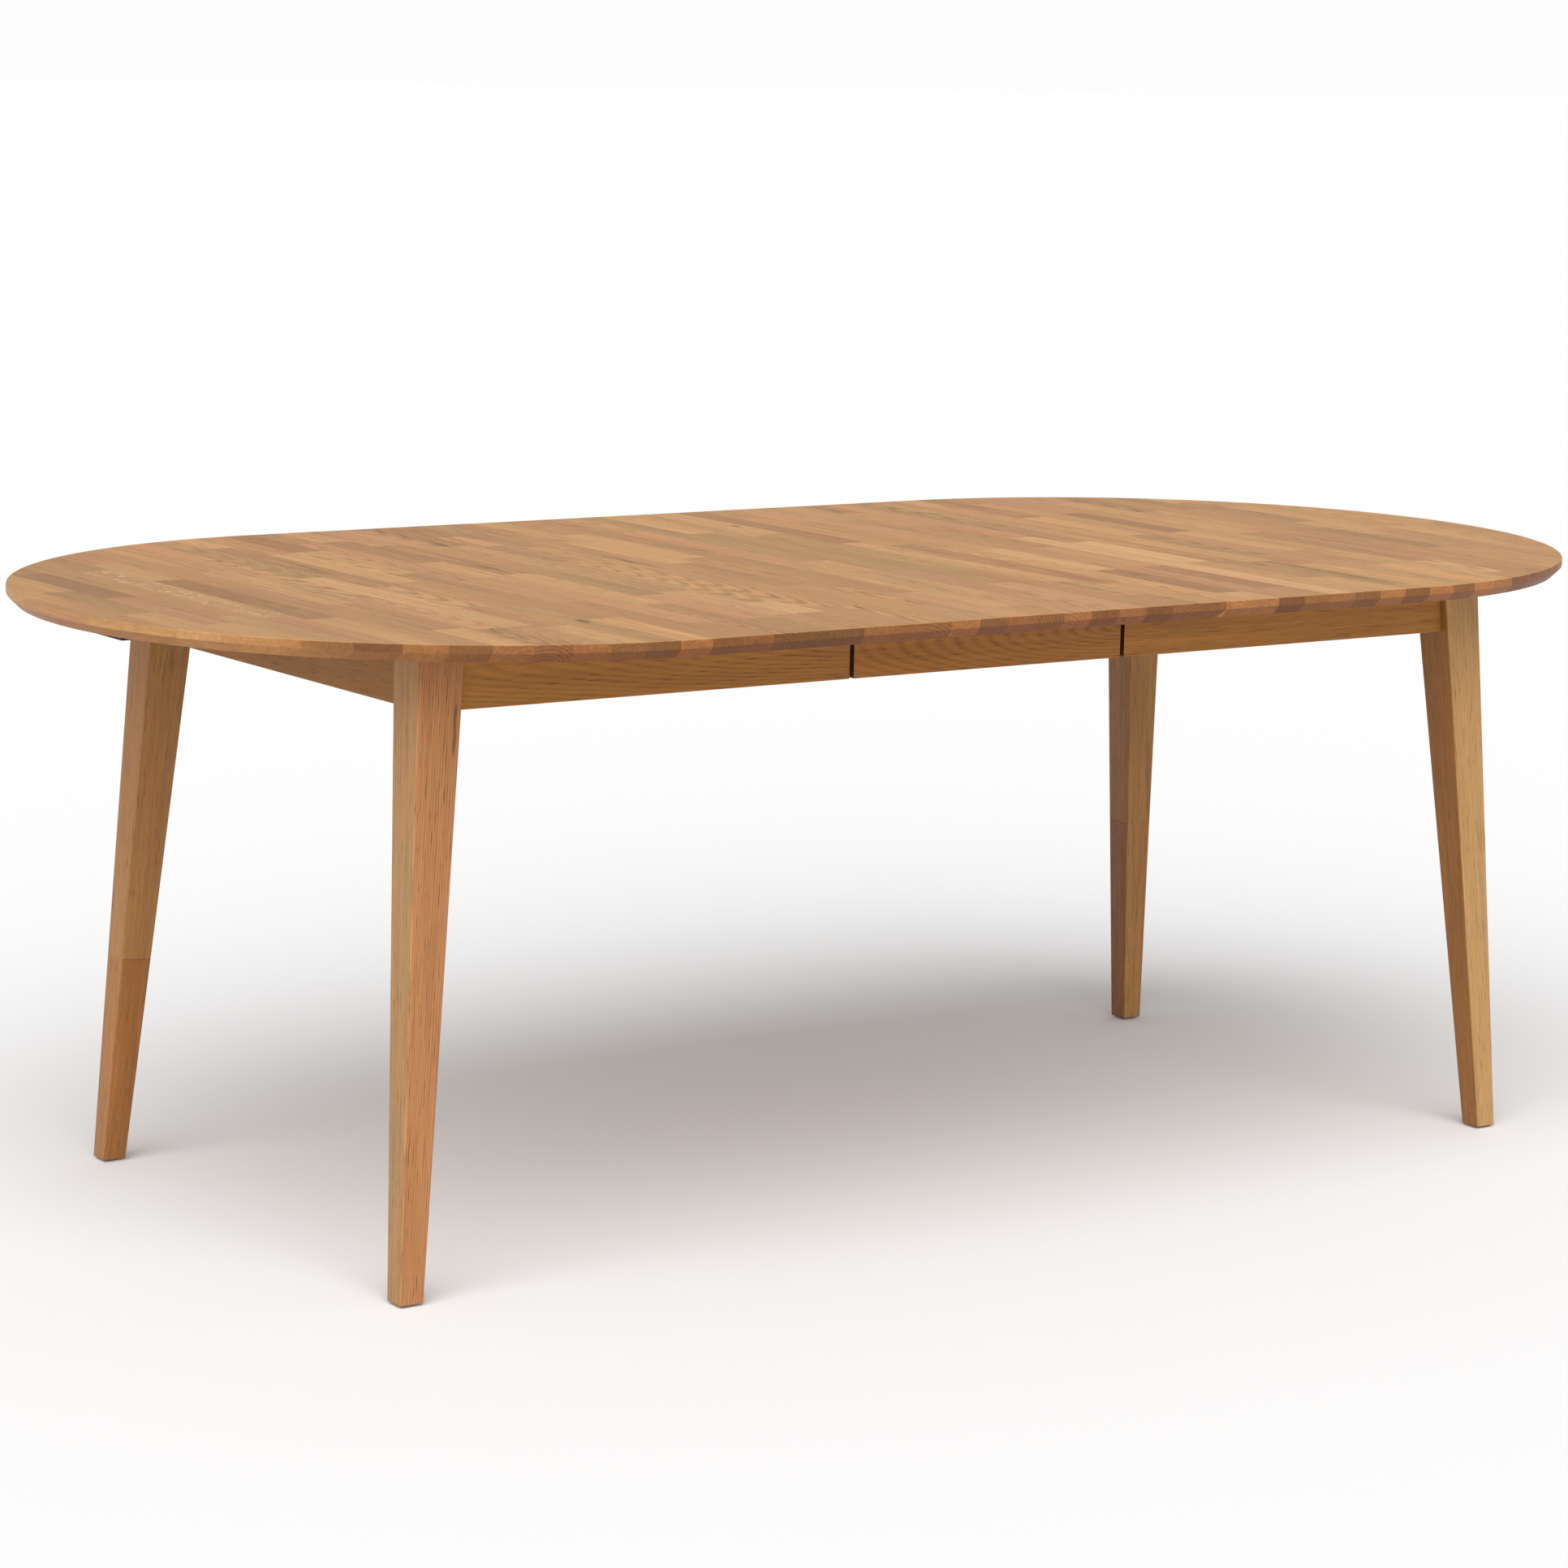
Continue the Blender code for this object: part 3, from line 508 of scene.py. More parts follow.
# strips are counted from the joint, or from the left on the leaf: (strip, from y, to y, tint)
CHOSEN_STAVES = {
    "left": [(1, 0.44, 0.54, "olive"), (2, 0.41, 0.54, "brown"), (2, -0.40, -0.30, "pale"),
             (3, 0.32, 0.54, "brown"), (3, -0.405, -0.175, "pale"), (4, -0.19, 0.05, "olive"),
             (4, -0.415, -0.19, "rose"), (6, 0.187, 0.422, "brown"), (8, 0.345, 0.54, "brown"),
             (9, -0.215, 0.03, "tan"), (10, 0.30, 0.42, "brown"), (11, -0.357, 0.112, "pale"),
             (12, -0.36, -0.07, "rose"), (13, -0.345, -0.11, "tan"), (15, -0.07, 0.165, "brown"),
             (16, -0.175, 0.28, "straw"), (16, 0.28, 0.45, "tan"), (16, -0.45, -0.175, "rose"),
             (18, 0.045, 0.28, "brown"), (18, -0.20, 0.045, "rose"), (19, -0.085, 0.12, "olive")],
    "leaf": [(0, -0.19, 0.05, "tan"), (2, -0.30, 0.047, "tan"), (3, -0.455, -0.05, "straw"),
             (4, 0.0, 0.54, "olive"), (5, -0.12, 0.31, "olive"), (6, 0.25, 0.54, "straw"),
             (7, -0.54, -0.155, "tan"), (7, 0.27, 0.54, "straw"), (8, 0.143, 0.54, "brown"),
             (8, -0.30, 0.143, "straw"), (9, -0.338, 0.096, "tan")],
    "right": [(1, -0.228, 0.01, "pale"), (1, -0.466, -0.228, "brown"), (1, -0.54, -0.466, "pale"),
              (3, -0.455, -0.222, "brown"), (3, 0.0, 0.25, "tan"), (4, -0.54, 0.10, "pale"),
              (5, 0.268, 0.54, "olive"), (5, -0.21, 0.027, "pale"), (6, -0.21, 0.125, "tan"),
              (7, -0.24, 0.0, "straw"), (8, 0.287, 0.54, "brown"), (8, 0.06, 0.287, "straw"),
              (8, -0.20, 0.06, "olive"), (10, 0.065, 0.305, "brown"), (10, -0.33, -0.165, "tan"),
              (12, -0.455, -0.325, "pale"), (14, -0.19, 0.045, "tan"), (15, -0.215, 0.02, "tan"),
              (15, 0.28, 0.45, "olive"), (16, -0.07, 0.09, "straw")],
}
FLECKED_STAVE = ("left", 16)
LAST_LIGHT_STRIP = 13         # the strips past it on the left came from a darker, calmer board
OUTER_SHADE = 0.88
OUTER_FIGURE = 0.3


def plan_strip(board, strip, luck):
    """Return a strip's staves as (from y, to y, tint), with the chosen ones left where they are."""
    staves = []
    y = -top_radius - luck.uniform(0, STAVE_LENGTHS[0])
    chosen = sorted(stave[1:] for stave in CHOSEN_STAVES[board] if stave[0] == strip)
    for low, high, tint in chosen + [(PAST_EDGE, None, None)]:
        while y < low - NEAR:
            end = y + luck.uniform(*STAVE_LENGTHS)
            if end > low - STAVE_LENGTHS[0] / 2:
                end = low
            staves.append((y, end, luck.choice(USUAL_TINTS)))
            y = end
        if tint:
            staves.append((low, high, tint))
            y = high
    return staves


print("staves are", round(STAVE_WIDTH * 1000, 1), "mm wide")


# %% Choose what each stave is like
TONE_SPREAD = 0.035                 # how much boards of one tint differ
QUARTER_SAWN_SHARE = 0.45
QUARTER_SAWN_ASIDE = (0.05, 0.12)   # how far the pith lies to one side
PLAIN_SAWN_ASIDE = (-0.02, 0.02)
PITH_HEIGHTS = (-0.05, -0.015)
LEANS = (-0.10, 0.10)
FIGURES = (0.4, 0.6, 0.8, 1.2)
LOG_SPAN = (0, 40)                  # places in a log are drawn from a cube of this span


def describe_stave(board, strip, centre, tint, crosses_middle, luck):
    """Draw a stave's tone, the place of its pith and its place in a log."""
    outer = board == "left" and strip > LAST_LIGHT_STRIP
    fleckable = (board, strip) == FLECKED_STAVE
    shade = luck.gauss(1.0, TONE_SPREAD)
    if outer:
        shade *= OUTER_SHADE
    if luck.random() < QUARTER_SAWN_SHARE or fleckable:
        aside = luck.choice((-1, 1)) * luck.uniform(*QUARTER_SAWN_ASIDE)
    else:
        aside = luck.uniform(*PLAIN_SAWN_ASIDE)
    pith = centre + Vector((aside, 0, luck.uniform(*PITH_HEIGHTS)))
    lean = luck.uniform(*LEANS)
    figure = luck.choice(FIGURES)
    if outer:
        figure = OUTER_FIGURE
    return {
        "stave_tint": [channel * shade for channel in TINTS[tint]],
        "stave_pith": pith,
        "stave_log": [luck.uniform(*LOG_SPAN) for _ in range(3)],
        "stave_extra": (lean, figure, 1.0 if fleckable and crosses_middle else 0.0),
    }


def store_staves(piece, board, planned, start_x, direction, luck):
    """Write the attributes that the stave finish reads."""
    values = {}
    for strip, start, end, tint in planned:
        centre = Vector((start_x + direction * (strip + 0.5) * STAVE_WIDTH, (start + end) / 2,
                         table_height))
        values[strip, start, end] = describe_stave(board, strip, centre, tint, start < 0 < end, luck)
    mesh = piece.data
    layers = {name: mesh.attributes.new(name, "FLOAT_VECTOR", "FACE")
              for name in ("stave_tint", "stave_pith", "stave_log", "stave_extra")}
    last_strip = planned[-1][0]
    for face in mesh.polygons:
        strip = int((face.center.x - start_x) * direction / STAVE_WIDTH)
        strip = min(max(strip, 0), last_strip)
        own = next(stave for stave in values
                   if stave[0] == strip and stave[1] <= face.center.y < stave[2])
        for name, layer in layers.items():
            layer.data[face.index].vector = values[own][name]


# %% Cut a top along its plan
def cut_staves(piece, board, start_x, direction, seed):
    """Cut a top along its glue lines and give each face its stave's tint and place in a log."""
    luck = random.Random(seed)
    bpy.ops.object.mode_set(mode="EDIT")
    places = [vert.co.x for vert in piece.data.vertices]
    count = math.ceil((max(places) - min(places)) / STAVE_WIDTH - 0.01)
    for strip in range(1, count):
        bpy.ops.mesh.select_all(action="SELECT")
        bpy.ops.mesh.bisect(plane_co=(start_x + direction * strip * STAVE_WIDTH, 0, 0),
                            plane_no=(1, 0, 0))
    planned = []
    for strip in range(count):
        centre = start_x + direction * (strip + 0.5) * STAVE_WIDTH
        for start, end, tint in plan_strip(board, strip, luck):
            pick(piece, "FACE", lambda face: abs(middle(face).x - centre) < STAVE_WIDTH / 2)
            bpy.ops.mesh.bisect(plane_co=(0, end, 0), plane_no=(0, 1, 0))
            planned.append((strip, start, end, tint))
    bpy.ops.object.mode_set(mode="OBJECT")
    store_staves(piece, board, planned, start_x, direction, luck)
    return len(planned)


# %% [markdown]
# ## A half top
# Seen from above, a half top is a rectangle that ends in a half circle. It starts as a filled circle,
# which a plane cuts in two. The straight edge of the outer half is then drawn out to the joint, and
# the whole sheet is given its thickness. Under the edge runs a wide bevel that makes the board look
# thinner than it is, and the upper edge is only eased, so that a hand feels no corner. The edge at
# the joint stays nearly sharp, because it has to close against the leaf with no groove.

# %% Shape a half top
ROUND_STEPS = 192
UNDERCUT = 0.0105
EDGE_EASE, EDGE_STEPS = 0.0015, 4
JOINT_EASE = 0.0003


def shape_half_top(name, sign):
    """Shape a half top, with its undercut and its eased edges."""
    clear_selection()
    bpy.ops.mesh.primitive_circle_add(vertices=ROUND_STEPS, radius=top_radius, fill_type="NGON",
                                      location=(sign * round_centre_x, 0, table_height))
    piece = name_piece(name)
    bpy.ops.mesh.select_all(action="SELECT")
    bpy.ops.mesh.bisect(plane_co=(sign * round_centre_x, 0, 0), plane_no=(sign, 0, 0),
                        clear_inner=True)
    pick(piece, "EDGE", lambda edge: abs(middle(edge).x - sign * round_centre_x) < NEAR)
    push((sign * (joint_x - round_centre_x), 0, 0))
    bpy.ops.mesh.select_mode(type="FACE")
    bpy.ops.mesh.select_all(action="SELECT")
    push((0, 0, -top_thickness))
    close_up()

    def at_joint(edge):
        return all(abs(vert.co.x - sign * joint_x) < NEAR for vert in edge.verts)

    def on_rim(edge, z):
        rises = [face.normal.z for face in edge.link_faces]
        return all(abs(vert.co.z - z) < NEAR for vert in edge.verts) and abs(rises[0] - rises[-1]) > 0.5

    pick(piece, "EDGE", lambda edge: on_rim(edge, table_height - top_thickness) and not at_joint(edge))
    bpy.ops.mesh.bevel(offset=UNDERCUT, segments=1, affect="EDGES")
    pick(piece, "EDGE", lambda edge: on_rim(edge, table_height) and not at_joint(edge))
    bpy.ops.mesh.bevel(offset=EDGE_EASE, segments=EDGE_STEPS, affect="EDGES")
    pick(piece, "EDGE", lambda edge: on_rim(edge, table_height) and at_joint(edge))
    bpy.ops.mesh.bevel(offset=JOINT_EASE, segments=1, affect="EDGES")
    close_up()
    return piece


# %% Bore the half tops for their pins, and cut them into staves
PIN_BORE = 0.0043
PIN_SEAT = 0.0183             # how deep a half's own pin is set
PIN_SOCKET = 0.0145           # how deep the other half's pin goes in when the table is closed
pin_rows = {side: centre_of(f"alignment_pin_rear_{side}").y for side in SIDES}


def bore_for_pin(piece, mouth_x, y, depth):
    """Bore a round hole into an upright edge, for an alignment pin."""
    clear_selection()
    bpy.ops.mesh.primitive_cylinder_add(vertices=24, radius=PIN_BORE, depth=2 * depth,
                                        location=(mouth_x, y, table_height - top_thickness / 2),
                                        rotation=(0, math.pi / 2, 0))
    carve(piece, bpy.context.active_object)


def model_half_top(side):
    """Model a half top and cut it into staves."""
    sign = SIDES[side]
    piece = shape_half_top(f"oak_top_{side}", sign)
    other = "left" if side == "right" else "right"
    for face_sign in FACES.values():
        bore_for_pin(piece, sign * joint_x, face_sign * pin_rows[side], PIN_SEAT)
        bore_for_pin(piece, sign * joint_x, face_sign * pin_rows[other], PIN_SOCKET)
    made = cut_staves(piece, side, sign * joint_x, sign, seed=31 + sign)
    finish_piece(piece, top_oak, f"{side}_half", [f"half_top_{side}"])
    print(piece.name, "staves", made, "faces", len(piece.data.polygons))


for top_side in SIDES:
    model_half_top(top_side)

# %% [markdown]
# ## The leaf
# The leaf is the same board without round ends. Its long edges at the front and rear have the same
# bevel as the halves, and the edges at the joints stay nearly sharp. Its keyways, where the halves'
# pins stand, are open underneath, so that it lifts straight out.

# %% Model the leaf
KEYWAY_DEPTH, KEYWAY_WIDTH, KEYWAY_HEIGHT = 0.0130, 0.0086, 0.0300
KEYWAY_ROOF = 0.0055          # what is left of the leaf above a keyway


def model_leaf():
    """Model the leaf from a cube and cut it into staves."""
    size = leaf_high - leaf_low
    clear_selection()
    bpy.ops.mesh.primitive_cube_add(size=1, location=(leaf_low + leaf_high) / 2, scale=size)
    piece = name_piece("oak_leaf")

    def long_edge(edge, z):
        ends = [vert.co for vert in edge.verts]
        return all(abs(p.z - z) < NEAR and abs(p.y) > leaf_half_width - NEAR for p in ends)

    pick(piece, "EDGE", lambda edge: long_edge(edge, leaf_low.z))
    bpy.ops.mesh.bevel(offset=UNDERCUT, segments=1, affect="EDGES")
    pick(piece, "EDGE", lambda edge: long_edge(edge, leaf_high.z))
    bpy.ops.mesh.bevel(offset=EDGE_EASE, segments=EDGE_STEPS, affect="EDGES")
    pick(piece, "EDGE", lambda edge: abs(middle(edge).x) > leaf_high.x - NEAR
         and all(abs(vert.co.z - leaf_high.z) < NEAR for vert in edge.verts))
    bpy.ops.mesh.bevel(offset=JOINT_EASE, segments=1, affect="EDGES")
    close_up()
    for side, sign in SIDES.items():
        for face_sign in FACES.values():
            clear_selection()
            keyway_z = table_height - KEYWAY_ROOF - KEYWAY_HEIGHT / 2
            bpy.ops.mesh.primitive_cube_add(
                size=1, location=(sign * leaf_high.x, face_sign * pin_rows[side], keyway_z),
                scale=(2 * KEYWAY_DEPTH, KEYWAY_WIDTH, KEYWAY_HEIGHT))
            carve(piece, bpy.context.active_object)
    made = cut_staves(piece, "leaf", leaf_low.x, 1, seed=57)
    finish_piece(piece, top_oak, "leaf", ["extension_leaf"])
    print(piece.name, "staves", made, "faces", len(piece.data.polygons))


model_leaf()

# %% [markdown]
# ## The boards of the frame
# Aprons are single boards, so one place in a log does for each. Shifting that place changes the
# figure: with the pith close behind the face the grain makes arches, and with it far to one side the
# grain runs straight.
#
# A packed board already has its real shape, but its edges are as sharp as a blade. It could keep them
# and only be given a finish. Here a copy of it is welded and its long edges are rounded by a
# millimetre, as with sandpaper, because an eased edge catches a line of light.

# %% Make the finish of one board
def board_finish(name, axis, pith, lean, tint, figure, ring, seed, ends=END_GRAIN):
    """Make the oak of one board: its fibre runs along the axis, and its pith passes a place."""
    luck = random.Random(seed)
    material, tree, shader = new_material(name)
    from_pith = add(tree, "VectorMath", object_place(tree), pith, operation="SUBTRACT")
    log = [luck.uniform(*LOG_SPAN) for _ in range(3)]
    colour = use_oak(tree, shader, Place=fibre_along(tree, from_pith, axis), Log=log, Lean=lean,
                     Tint=(*tint, 1.0), Figure=figure, Ring=ring)
    # the ends are darkened with the given colour: end grain by default, and painted shade on the side
    # aprons' ends that face a slot
    end = ramp(tree, maths(tree, "ABSOLUTE", facing(tree)[axis]), 0.60, 0.85)
    feed(tree, shader.inputs["Base Color"], stain(tree, end, colour, ends))
    return material


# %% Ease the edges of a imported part
LONG_EDGE = 0.010
SHARP = math.radians(30)
FLAT = math.radians(0.5)


def ease(node, material, width):
    """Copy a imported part, weld it, ease its long sharp edges and give it a finish."""
    source = frame["nodes"][node]
    mesh = source.data.copy()
    mesh.transform(source.matrix_world)
    if "sharp_face" in mesh.attributes:
        mesh.attributes.remove(mesh.attributes["sharp_face"])
    piece = bpy.data.objects.new(f"{node}_eased", mesh)
    mesh.name = piece.name
    bpy.context.scene.collection.objects.link(piece)
    clear_selection()
    piece.select_set(True)
    bpy.context.view_layer.objects.active = piece
    bpy.ops.object.mode_set(mode="EDIT")
    close_up()
    bpy.ops.mesh.dissolve_limited(angle_limit=FLAT)
    pick(piece, "EDGE", lambda edge: edge.is_manifold and edge.calc_length() > LONG_EDGE
         and edge.calc_face_angle() > SHARP)
    bpy.ops.mesh.bevel(offset=width, segments=3, affect="EDGES")
    return finish_piece(piece, material, source.parent.name.removeprefix("body:"), [node])


# %% Finish the aprons
# painted shade: the aprons' tint is darker than the legs' oak, partly their own tone and partly the shade
# of the overhang painted in
APRON_TONE_AND_SHADE = Vector((0.360, 0.155, 0.032))
APRON_FIGURE = 0.85
APRON_EASE = 0.0010
APRON_PITH_BEHIND = 0.026
# painted shade: the apron ends that face a slot are darkened nearly to black, so that the slot reads as a
# dark line as shade would make it
SLOT_PAINTED_SHADE = (0.17, 0.10, 0.07, 1.0)    # on the apron ends that face a slot
SIDE_APRONS = (
    # part, height of the pith above its middle, lean of the fibre, shade, ring
    ("side_apron_{}_left", 0.014, 0.07, 1.00, 0.0034),
    ("leaf_apron_{}", 0.004, 0.16, 0.95, 0.0040),
    ("side_apron_{}_right", 0.050, 0.03, 1.02, 0.0020),
)
END_APRON_PITH = (0.020, 0.050)         # behind its face, and above its middle
END_APRON_LEAN, END_APRON_SHADE, END_APRON_RING = 0.03, 0.86, 0.0018

seed = 0
for face_name, face_sign in FACES.items():
    for pattern, rise, lean, shade, ring_width in SIDE_APRONS:
        seed += 1
        node = pattern.format(face_name)
        pith = centre_of(node) + Vector((0, -face_sign * APRON_PITH_BEHIND, rise))
        finish = board_finish(f"{node}_oak", "X", pith, lean, APRON_TONE_AND_SHADE * shade, APRON_FIGURE,
                              ring_width, seed, SLOT_PAINTED_SHADE)
        ease(node, finish, APRON_EASE)
for side_name, side_sign in SIDES.items():
    seed += 1
    node = f"end_apron_{side_name}"
    pith = centre_of(node) + Vector((side_sign * END_APRON_PITH[0], 0, END_APRON_PITH[1]))
    finish = board_finish(f"{node}_oak", "Y", pith, END_APRON_LEAN, APRON_TONE_AND_SHADE * END_APRON_SHADE,
                          APRON_FIGURE, END_APRON_RING, seed)
    ease(node, finish, APRON_EASE)
print("finished", seed, "aprons")

# %% [markdown]
# ## The legs
# A leg is glued from thick lamellas. Its two kinds of face are cut from different sides of them, so
# they differ in tone, and each kind gets its own tint. These tints also hold painted shade: the inner
# faces and the rear legs are painted darker where the table shades them. Where a lamella is joined end
# to end a face changes tone at a line across it. The leg leans outwards and its grain leans with it:
# the finish turns its points by the leg's own lean before it reads the pattern. Its rings are narrow
# and nearly straight, from a slow tree.

# %% Turn a leg's points, and mark its end joint and its bark pocket
LEG_FIBRE = Vector((0.0767, 0.0719, -1.0)).normalized()   # down a leg at +X and +Y
LINE_COLOUR = (0.110, 0.055, 0.025, 1.0)
LINE_SHARE, LINE_HALF_WIDTH = 0.6, 0.0006
MARK_SHARE, MARK_SIZE = 0.75, (0.0026, 0.0080, 0.0420)
NEXT_BOARD = (3.1, 5.7, 0.0)              # from a leg's place in its log to the one past the joint


def stand_upright(tree, side_sign, face_sign, foot):
    """Return the points of a leg as if it stood upright on its foot, and the turn that does it."""
    fibre_line = Vector((side_sign * LEG_FIBRE.x, face_sign * LEG_FIBRE.y, LEG_FIBRE.z))
    turn = fibre_line.rotation_difference(Vector((0, 0, -1))).to_euler()
    upright = tree.nodes.new("ShaderNodeMapping")
    upright.inputs["Rotation"].default_value = turn
    from_foot = add(tree, "VectorMath", object_place(tree), foot, operation="SUBTRACT")
    feed(tree, upright.inputs["Vector"], from_foot)
    return upright.outputs["Vector"], turn


def find_end_joint(tree, upright, joint_height):
    """Return 1 below the end joint and 0 above it, and 1 only on the glue line."""
    height = split(tree, upright)["Z"]
    below = maths(tree, "LESS_THAN", height, joint_height)
    near = maths(tree, "ABSOLUTE", maths(tree, "SUBTRACT", height, joint_height))
    return below, maths(tree, "LESS_THAN", near, LINE_HALF_WIDTH)


def add_mark(tree, colour, upright, mark_place):
    """Add a slender dark mark with ragged edges."""
    away = add(tree, "VectorMath", upright, mark_place, operation="SUBTRACT")
    away = add(tree, "VectorMath", away, MARK_SIZE, operation="DIVIDE")
    ragged = stretched_noise(tree, object_place(tree), 300.0, 60.0, 1.0)
    distance = maths(tree, "ADD", length(tree, away), ragged)
    dark = ramp(tree, distance, 0.4, 1.0, start=MARK_SHARE, end=0.0)
    return mix_colour(tree, dark, colour, LINE_COLOUR)


# %% Make the finish of a leg
LEG_RING, LEG_GRAIN_LEAN = 0.0022, 0.012
LEG_PITH = (0.075, 0.060)                 # how far inside the leg's foot its pith lies


def leg_finish(name, side_sign, face_sign, foot, tones_and_shade, seed, mark=None):
    """Make the oak of one leg, with face tints that hold painted shade, and a dark mark where a place for
    one is given.
    """
    along_x_tone_and_shade, along_y_tone_and_shade, joint_height, joint_kind, lower_tone_and_shade = tones_and_shade
    luck = random.Random(seed)
    material, tree, shader = new_material(name)
    upright, turn = stand_upright(tree, side_sign, face_sign, foot)
    # painted shade: the two face tints below also carry how much light each face gets, so inner faces and
    # rear legs come out darker
    looks_along_y = ramp(tree, maths(tree, "ABSOLUTE", facing(tree)["Y"]), 0.60, 0.80)
    tint = mix_colour(tree, looks_along_y, (*along_x_tone_and_shade, 1.0), (*along_y_tone_and_shade, 1.0))
    log = Vector([luck.uniform(*LOG_SPAN) for _ in range(3)])
    if joint_height:
        below, line = find_end_joint(tree, upright, joint_height)
        shows = looks_along_y if joint_kind == "Y" else maths(tree, "SUBTRACT", 1.0, looks_along_y)
        tint = mix_colour(tree, maths(tree, "MULTIPLY", below, shows), tint, (*lower_tone_and_shade, 1.0))
        log = add(tree, "VectorMath", lighten(tree, NEXT_BOARD, below), log, operation="ADD")
    from_pith = add(tree, "VectorMath", upright,
                    (side_sign * LEG_PITH[0], face_sign * LEG_PITH[1], 0.0), operation="ADD")
    colour = use_oak(tree, shader, Place=from_pith, Log=log, Lean=LEG_GRAIN_LEAN, Tint=tint,
                     Figure=1.0, Ring=LEG_RING)
    if joint_height:
        line = maths(tree, "MULTIPLY", maths(tree, "MULTIPLY", line, shows), LINE_SHARE)
        colour = mix_colour(tree, line, colour, LINE_COLOUR)
    if mark:
        colour = add_mark(tree, colour, upright, turn.to_matrix() @ (Vector(mark) - foot))
    feed(tree, shader.inputs["Base Color"], colour)
    return material


# %% Finish the legs
LEG_EASE = 0.0012
LEGS = {
    # (side, face): tint, with painted shade, of the faces that look along X, of those along Y, height of
    # an end joint, which kind of face shows it, and the tint, with painted shade, below it
    ("left", "front"): ((0.410, 0.225, 0.090), (0.405, 0.178, 0.066), None, None, None),
    ("left", "rear"): ((0.375, 0.178, 0.060), (0.345, 0.163, 0.051), 0.262, "Y", (0.310, 0.132, 0.038)),
    ("right", "front"): ((0.290, 0.127, 0.035), (0.455, 0.258, 0.098), None, None, None),
    ("right", "rear"): ((0.310, 0.137, 0.050), (0.415, 0.205, 0.066), 0.300, "X", (0.250, 0.108, 0.040)),
}
MARKS = {("left", "front"): (-0.743, -0.351, 0.640)}      # an old bark pocket in one leg
FIRST_LEG_SEED = 70

for number, ((side_name, face_name), tones_and_shade) in enumerate(LEGS.items()):
    foot = centre_of(f"foot_glide_{face_name}_{side_name}")
    foot.z = 0
    finish = leg_finish(f"leg_oak_{face_name}_{side_name}", SIDES[side_name], FACES[face_name],
                        foot, tones_and_shade, FIRST_LEG_SEED + number, MARKS.get((side_name, face_name)))
    ease(f"leg_{face_name}_{side_name}", finish, LEG_EASE)
print("finished", len(LEGS), "legs")

# %% [markdown]
# ## The inner woods
# What no guest sees is made of plainer wood. Cleats and braces are a pale hardwood, left bare. The
# runners and the support battens are stained dark, so that nothing pale shows through the slots
# between the aprons. They could share one finish, but then all would have the same grain. Each part
# gets its own place in a log instead, in the same solid pattern with other tints.

# %% Finish the inner woods
INNER_EASE = 0.0008
FIRST_INNER_SEED = 200
INNER_WOODS = (
    # words in the parts' names, slot, ending, tint, place of the pith, lean, figure, ring
    (("cleat", "brace"), "inner_wood", "wood", (0.500, 0.330, 0.175), (0, 0.05, 0.06), 0.02, 0.25, 0.002),
    (("runner", "batten"), "stained_wood", "stain", (0.060, 0.015, 0.007), (0, 0.04, 0.03), 0.03, 0.9,
     0.003),
)
for number, node in enumerate(sorted(frame["nodes"])):
    for words, slot, ending, tint, pith_offset, lean, figure, ring_width in INNER_WOODS:
        if any(word in node for word in words):
            finish = board_finish(f"{node}_{ending}", "X", centre_of(node) + Vector(pith_offset), lean,
                                  tint, figure, ring_width, FIRST_INNER_SEED + number)
            ease(node, finish, INNER_EASE)

# %% [markdown]
# ## Turning small round parts
# Bolts, pins, screws and glides are all made on a lathe, so they are made the same way here: a profile
# is drawn point by point with extrusions, and spun about the Z axis. The finished model is then copied
# to wherever the table needs one, and each copy is turned to point the right way.


# %% Turn a profile, and place copies
def turn_profile(name, profile, steps=24):
    """Turn a profile of (radius, height) points about the Z axis."""
    clear_selection()
    bpy.ops.mesh.primitive_plane_add(size=0.001)
    piece = name_piece(name)
    bpy.ops.mesh.select_mode(type="VERT")
    bpy.ops.mesh.select_all(action="SELECT")
    bpy.ops.mesh.merge(type="CENTER")
    bpy.ops.mesh.select_all(action="SELECT")
    bpy.ops.transform.translate(value=(profile[0][0], 0, profile[0][1]))
    for (radius, z), (next_radius, next_z) in zip(profile, profile[1:]):
        push((next_radius - radius, 0, next_z - z))
    bpy.ops.mesh.select_all(action="SELECT")
    bpy.ops.mesh.spin(steps=steps, angle=2 * math.pi, center=(0, 0, 0), axis=(0, 0, 1))
    close_up()
    bpy.ops.object.mode_set(mode="OBJECT")
    return piece


def place_copies(model, spots, material):
    """Copy a model to each (name, place, direction, body, nodes it stands for), then remove it."""
    for name, place, direction, body, stands_for in spots:
        piece = model.copy()
        piece.data = model.data.copy()
        piece.name = piece.data.name = name
        bpy.context.scene.collection.objects.link(piece)
        turn = Vector(direction).to_track_quat("Z", "Y").to_matrix().to_4x4()
        piece.matrix_world = Matrix.Translation(place) @ turn
        clear_selection()
        piece.select_set(True)
        bpy.context.view_layer.objects.active = piece
        bpy.ops.object.transform_apply(location=True, rotation=True, scale=True)
        finish_piece(piece, material, body, stands_for)
    print(len(spots), "x", model.name, "with", len(model.data.polygons), "faces each")
    bpy.data.objects.remove(model)


# %% [markdown]
# ## Metal, beech and plastic
# Zinc plating is a soft grey with faint blue and yellow clouds, and the glides are grey plastic with
# the faint skin of the mould. One flat colour would do from afar, but it looks like a toy close by. So
# one recipe serves both: a cloudy noise mixes two near tones, and a finer one varies the gloss and the
# relief. The dowels are of beech, a pale pinkish wood with narrow rings, and the pattern made for oak
# gives them their grain.

# %% Make the small parts' finishes
FINE_SCALE = 14               # how much finer the wear is than the clouds
WEAR, WEAR_RELIEF_STRENGTH = 0.22, 0.4


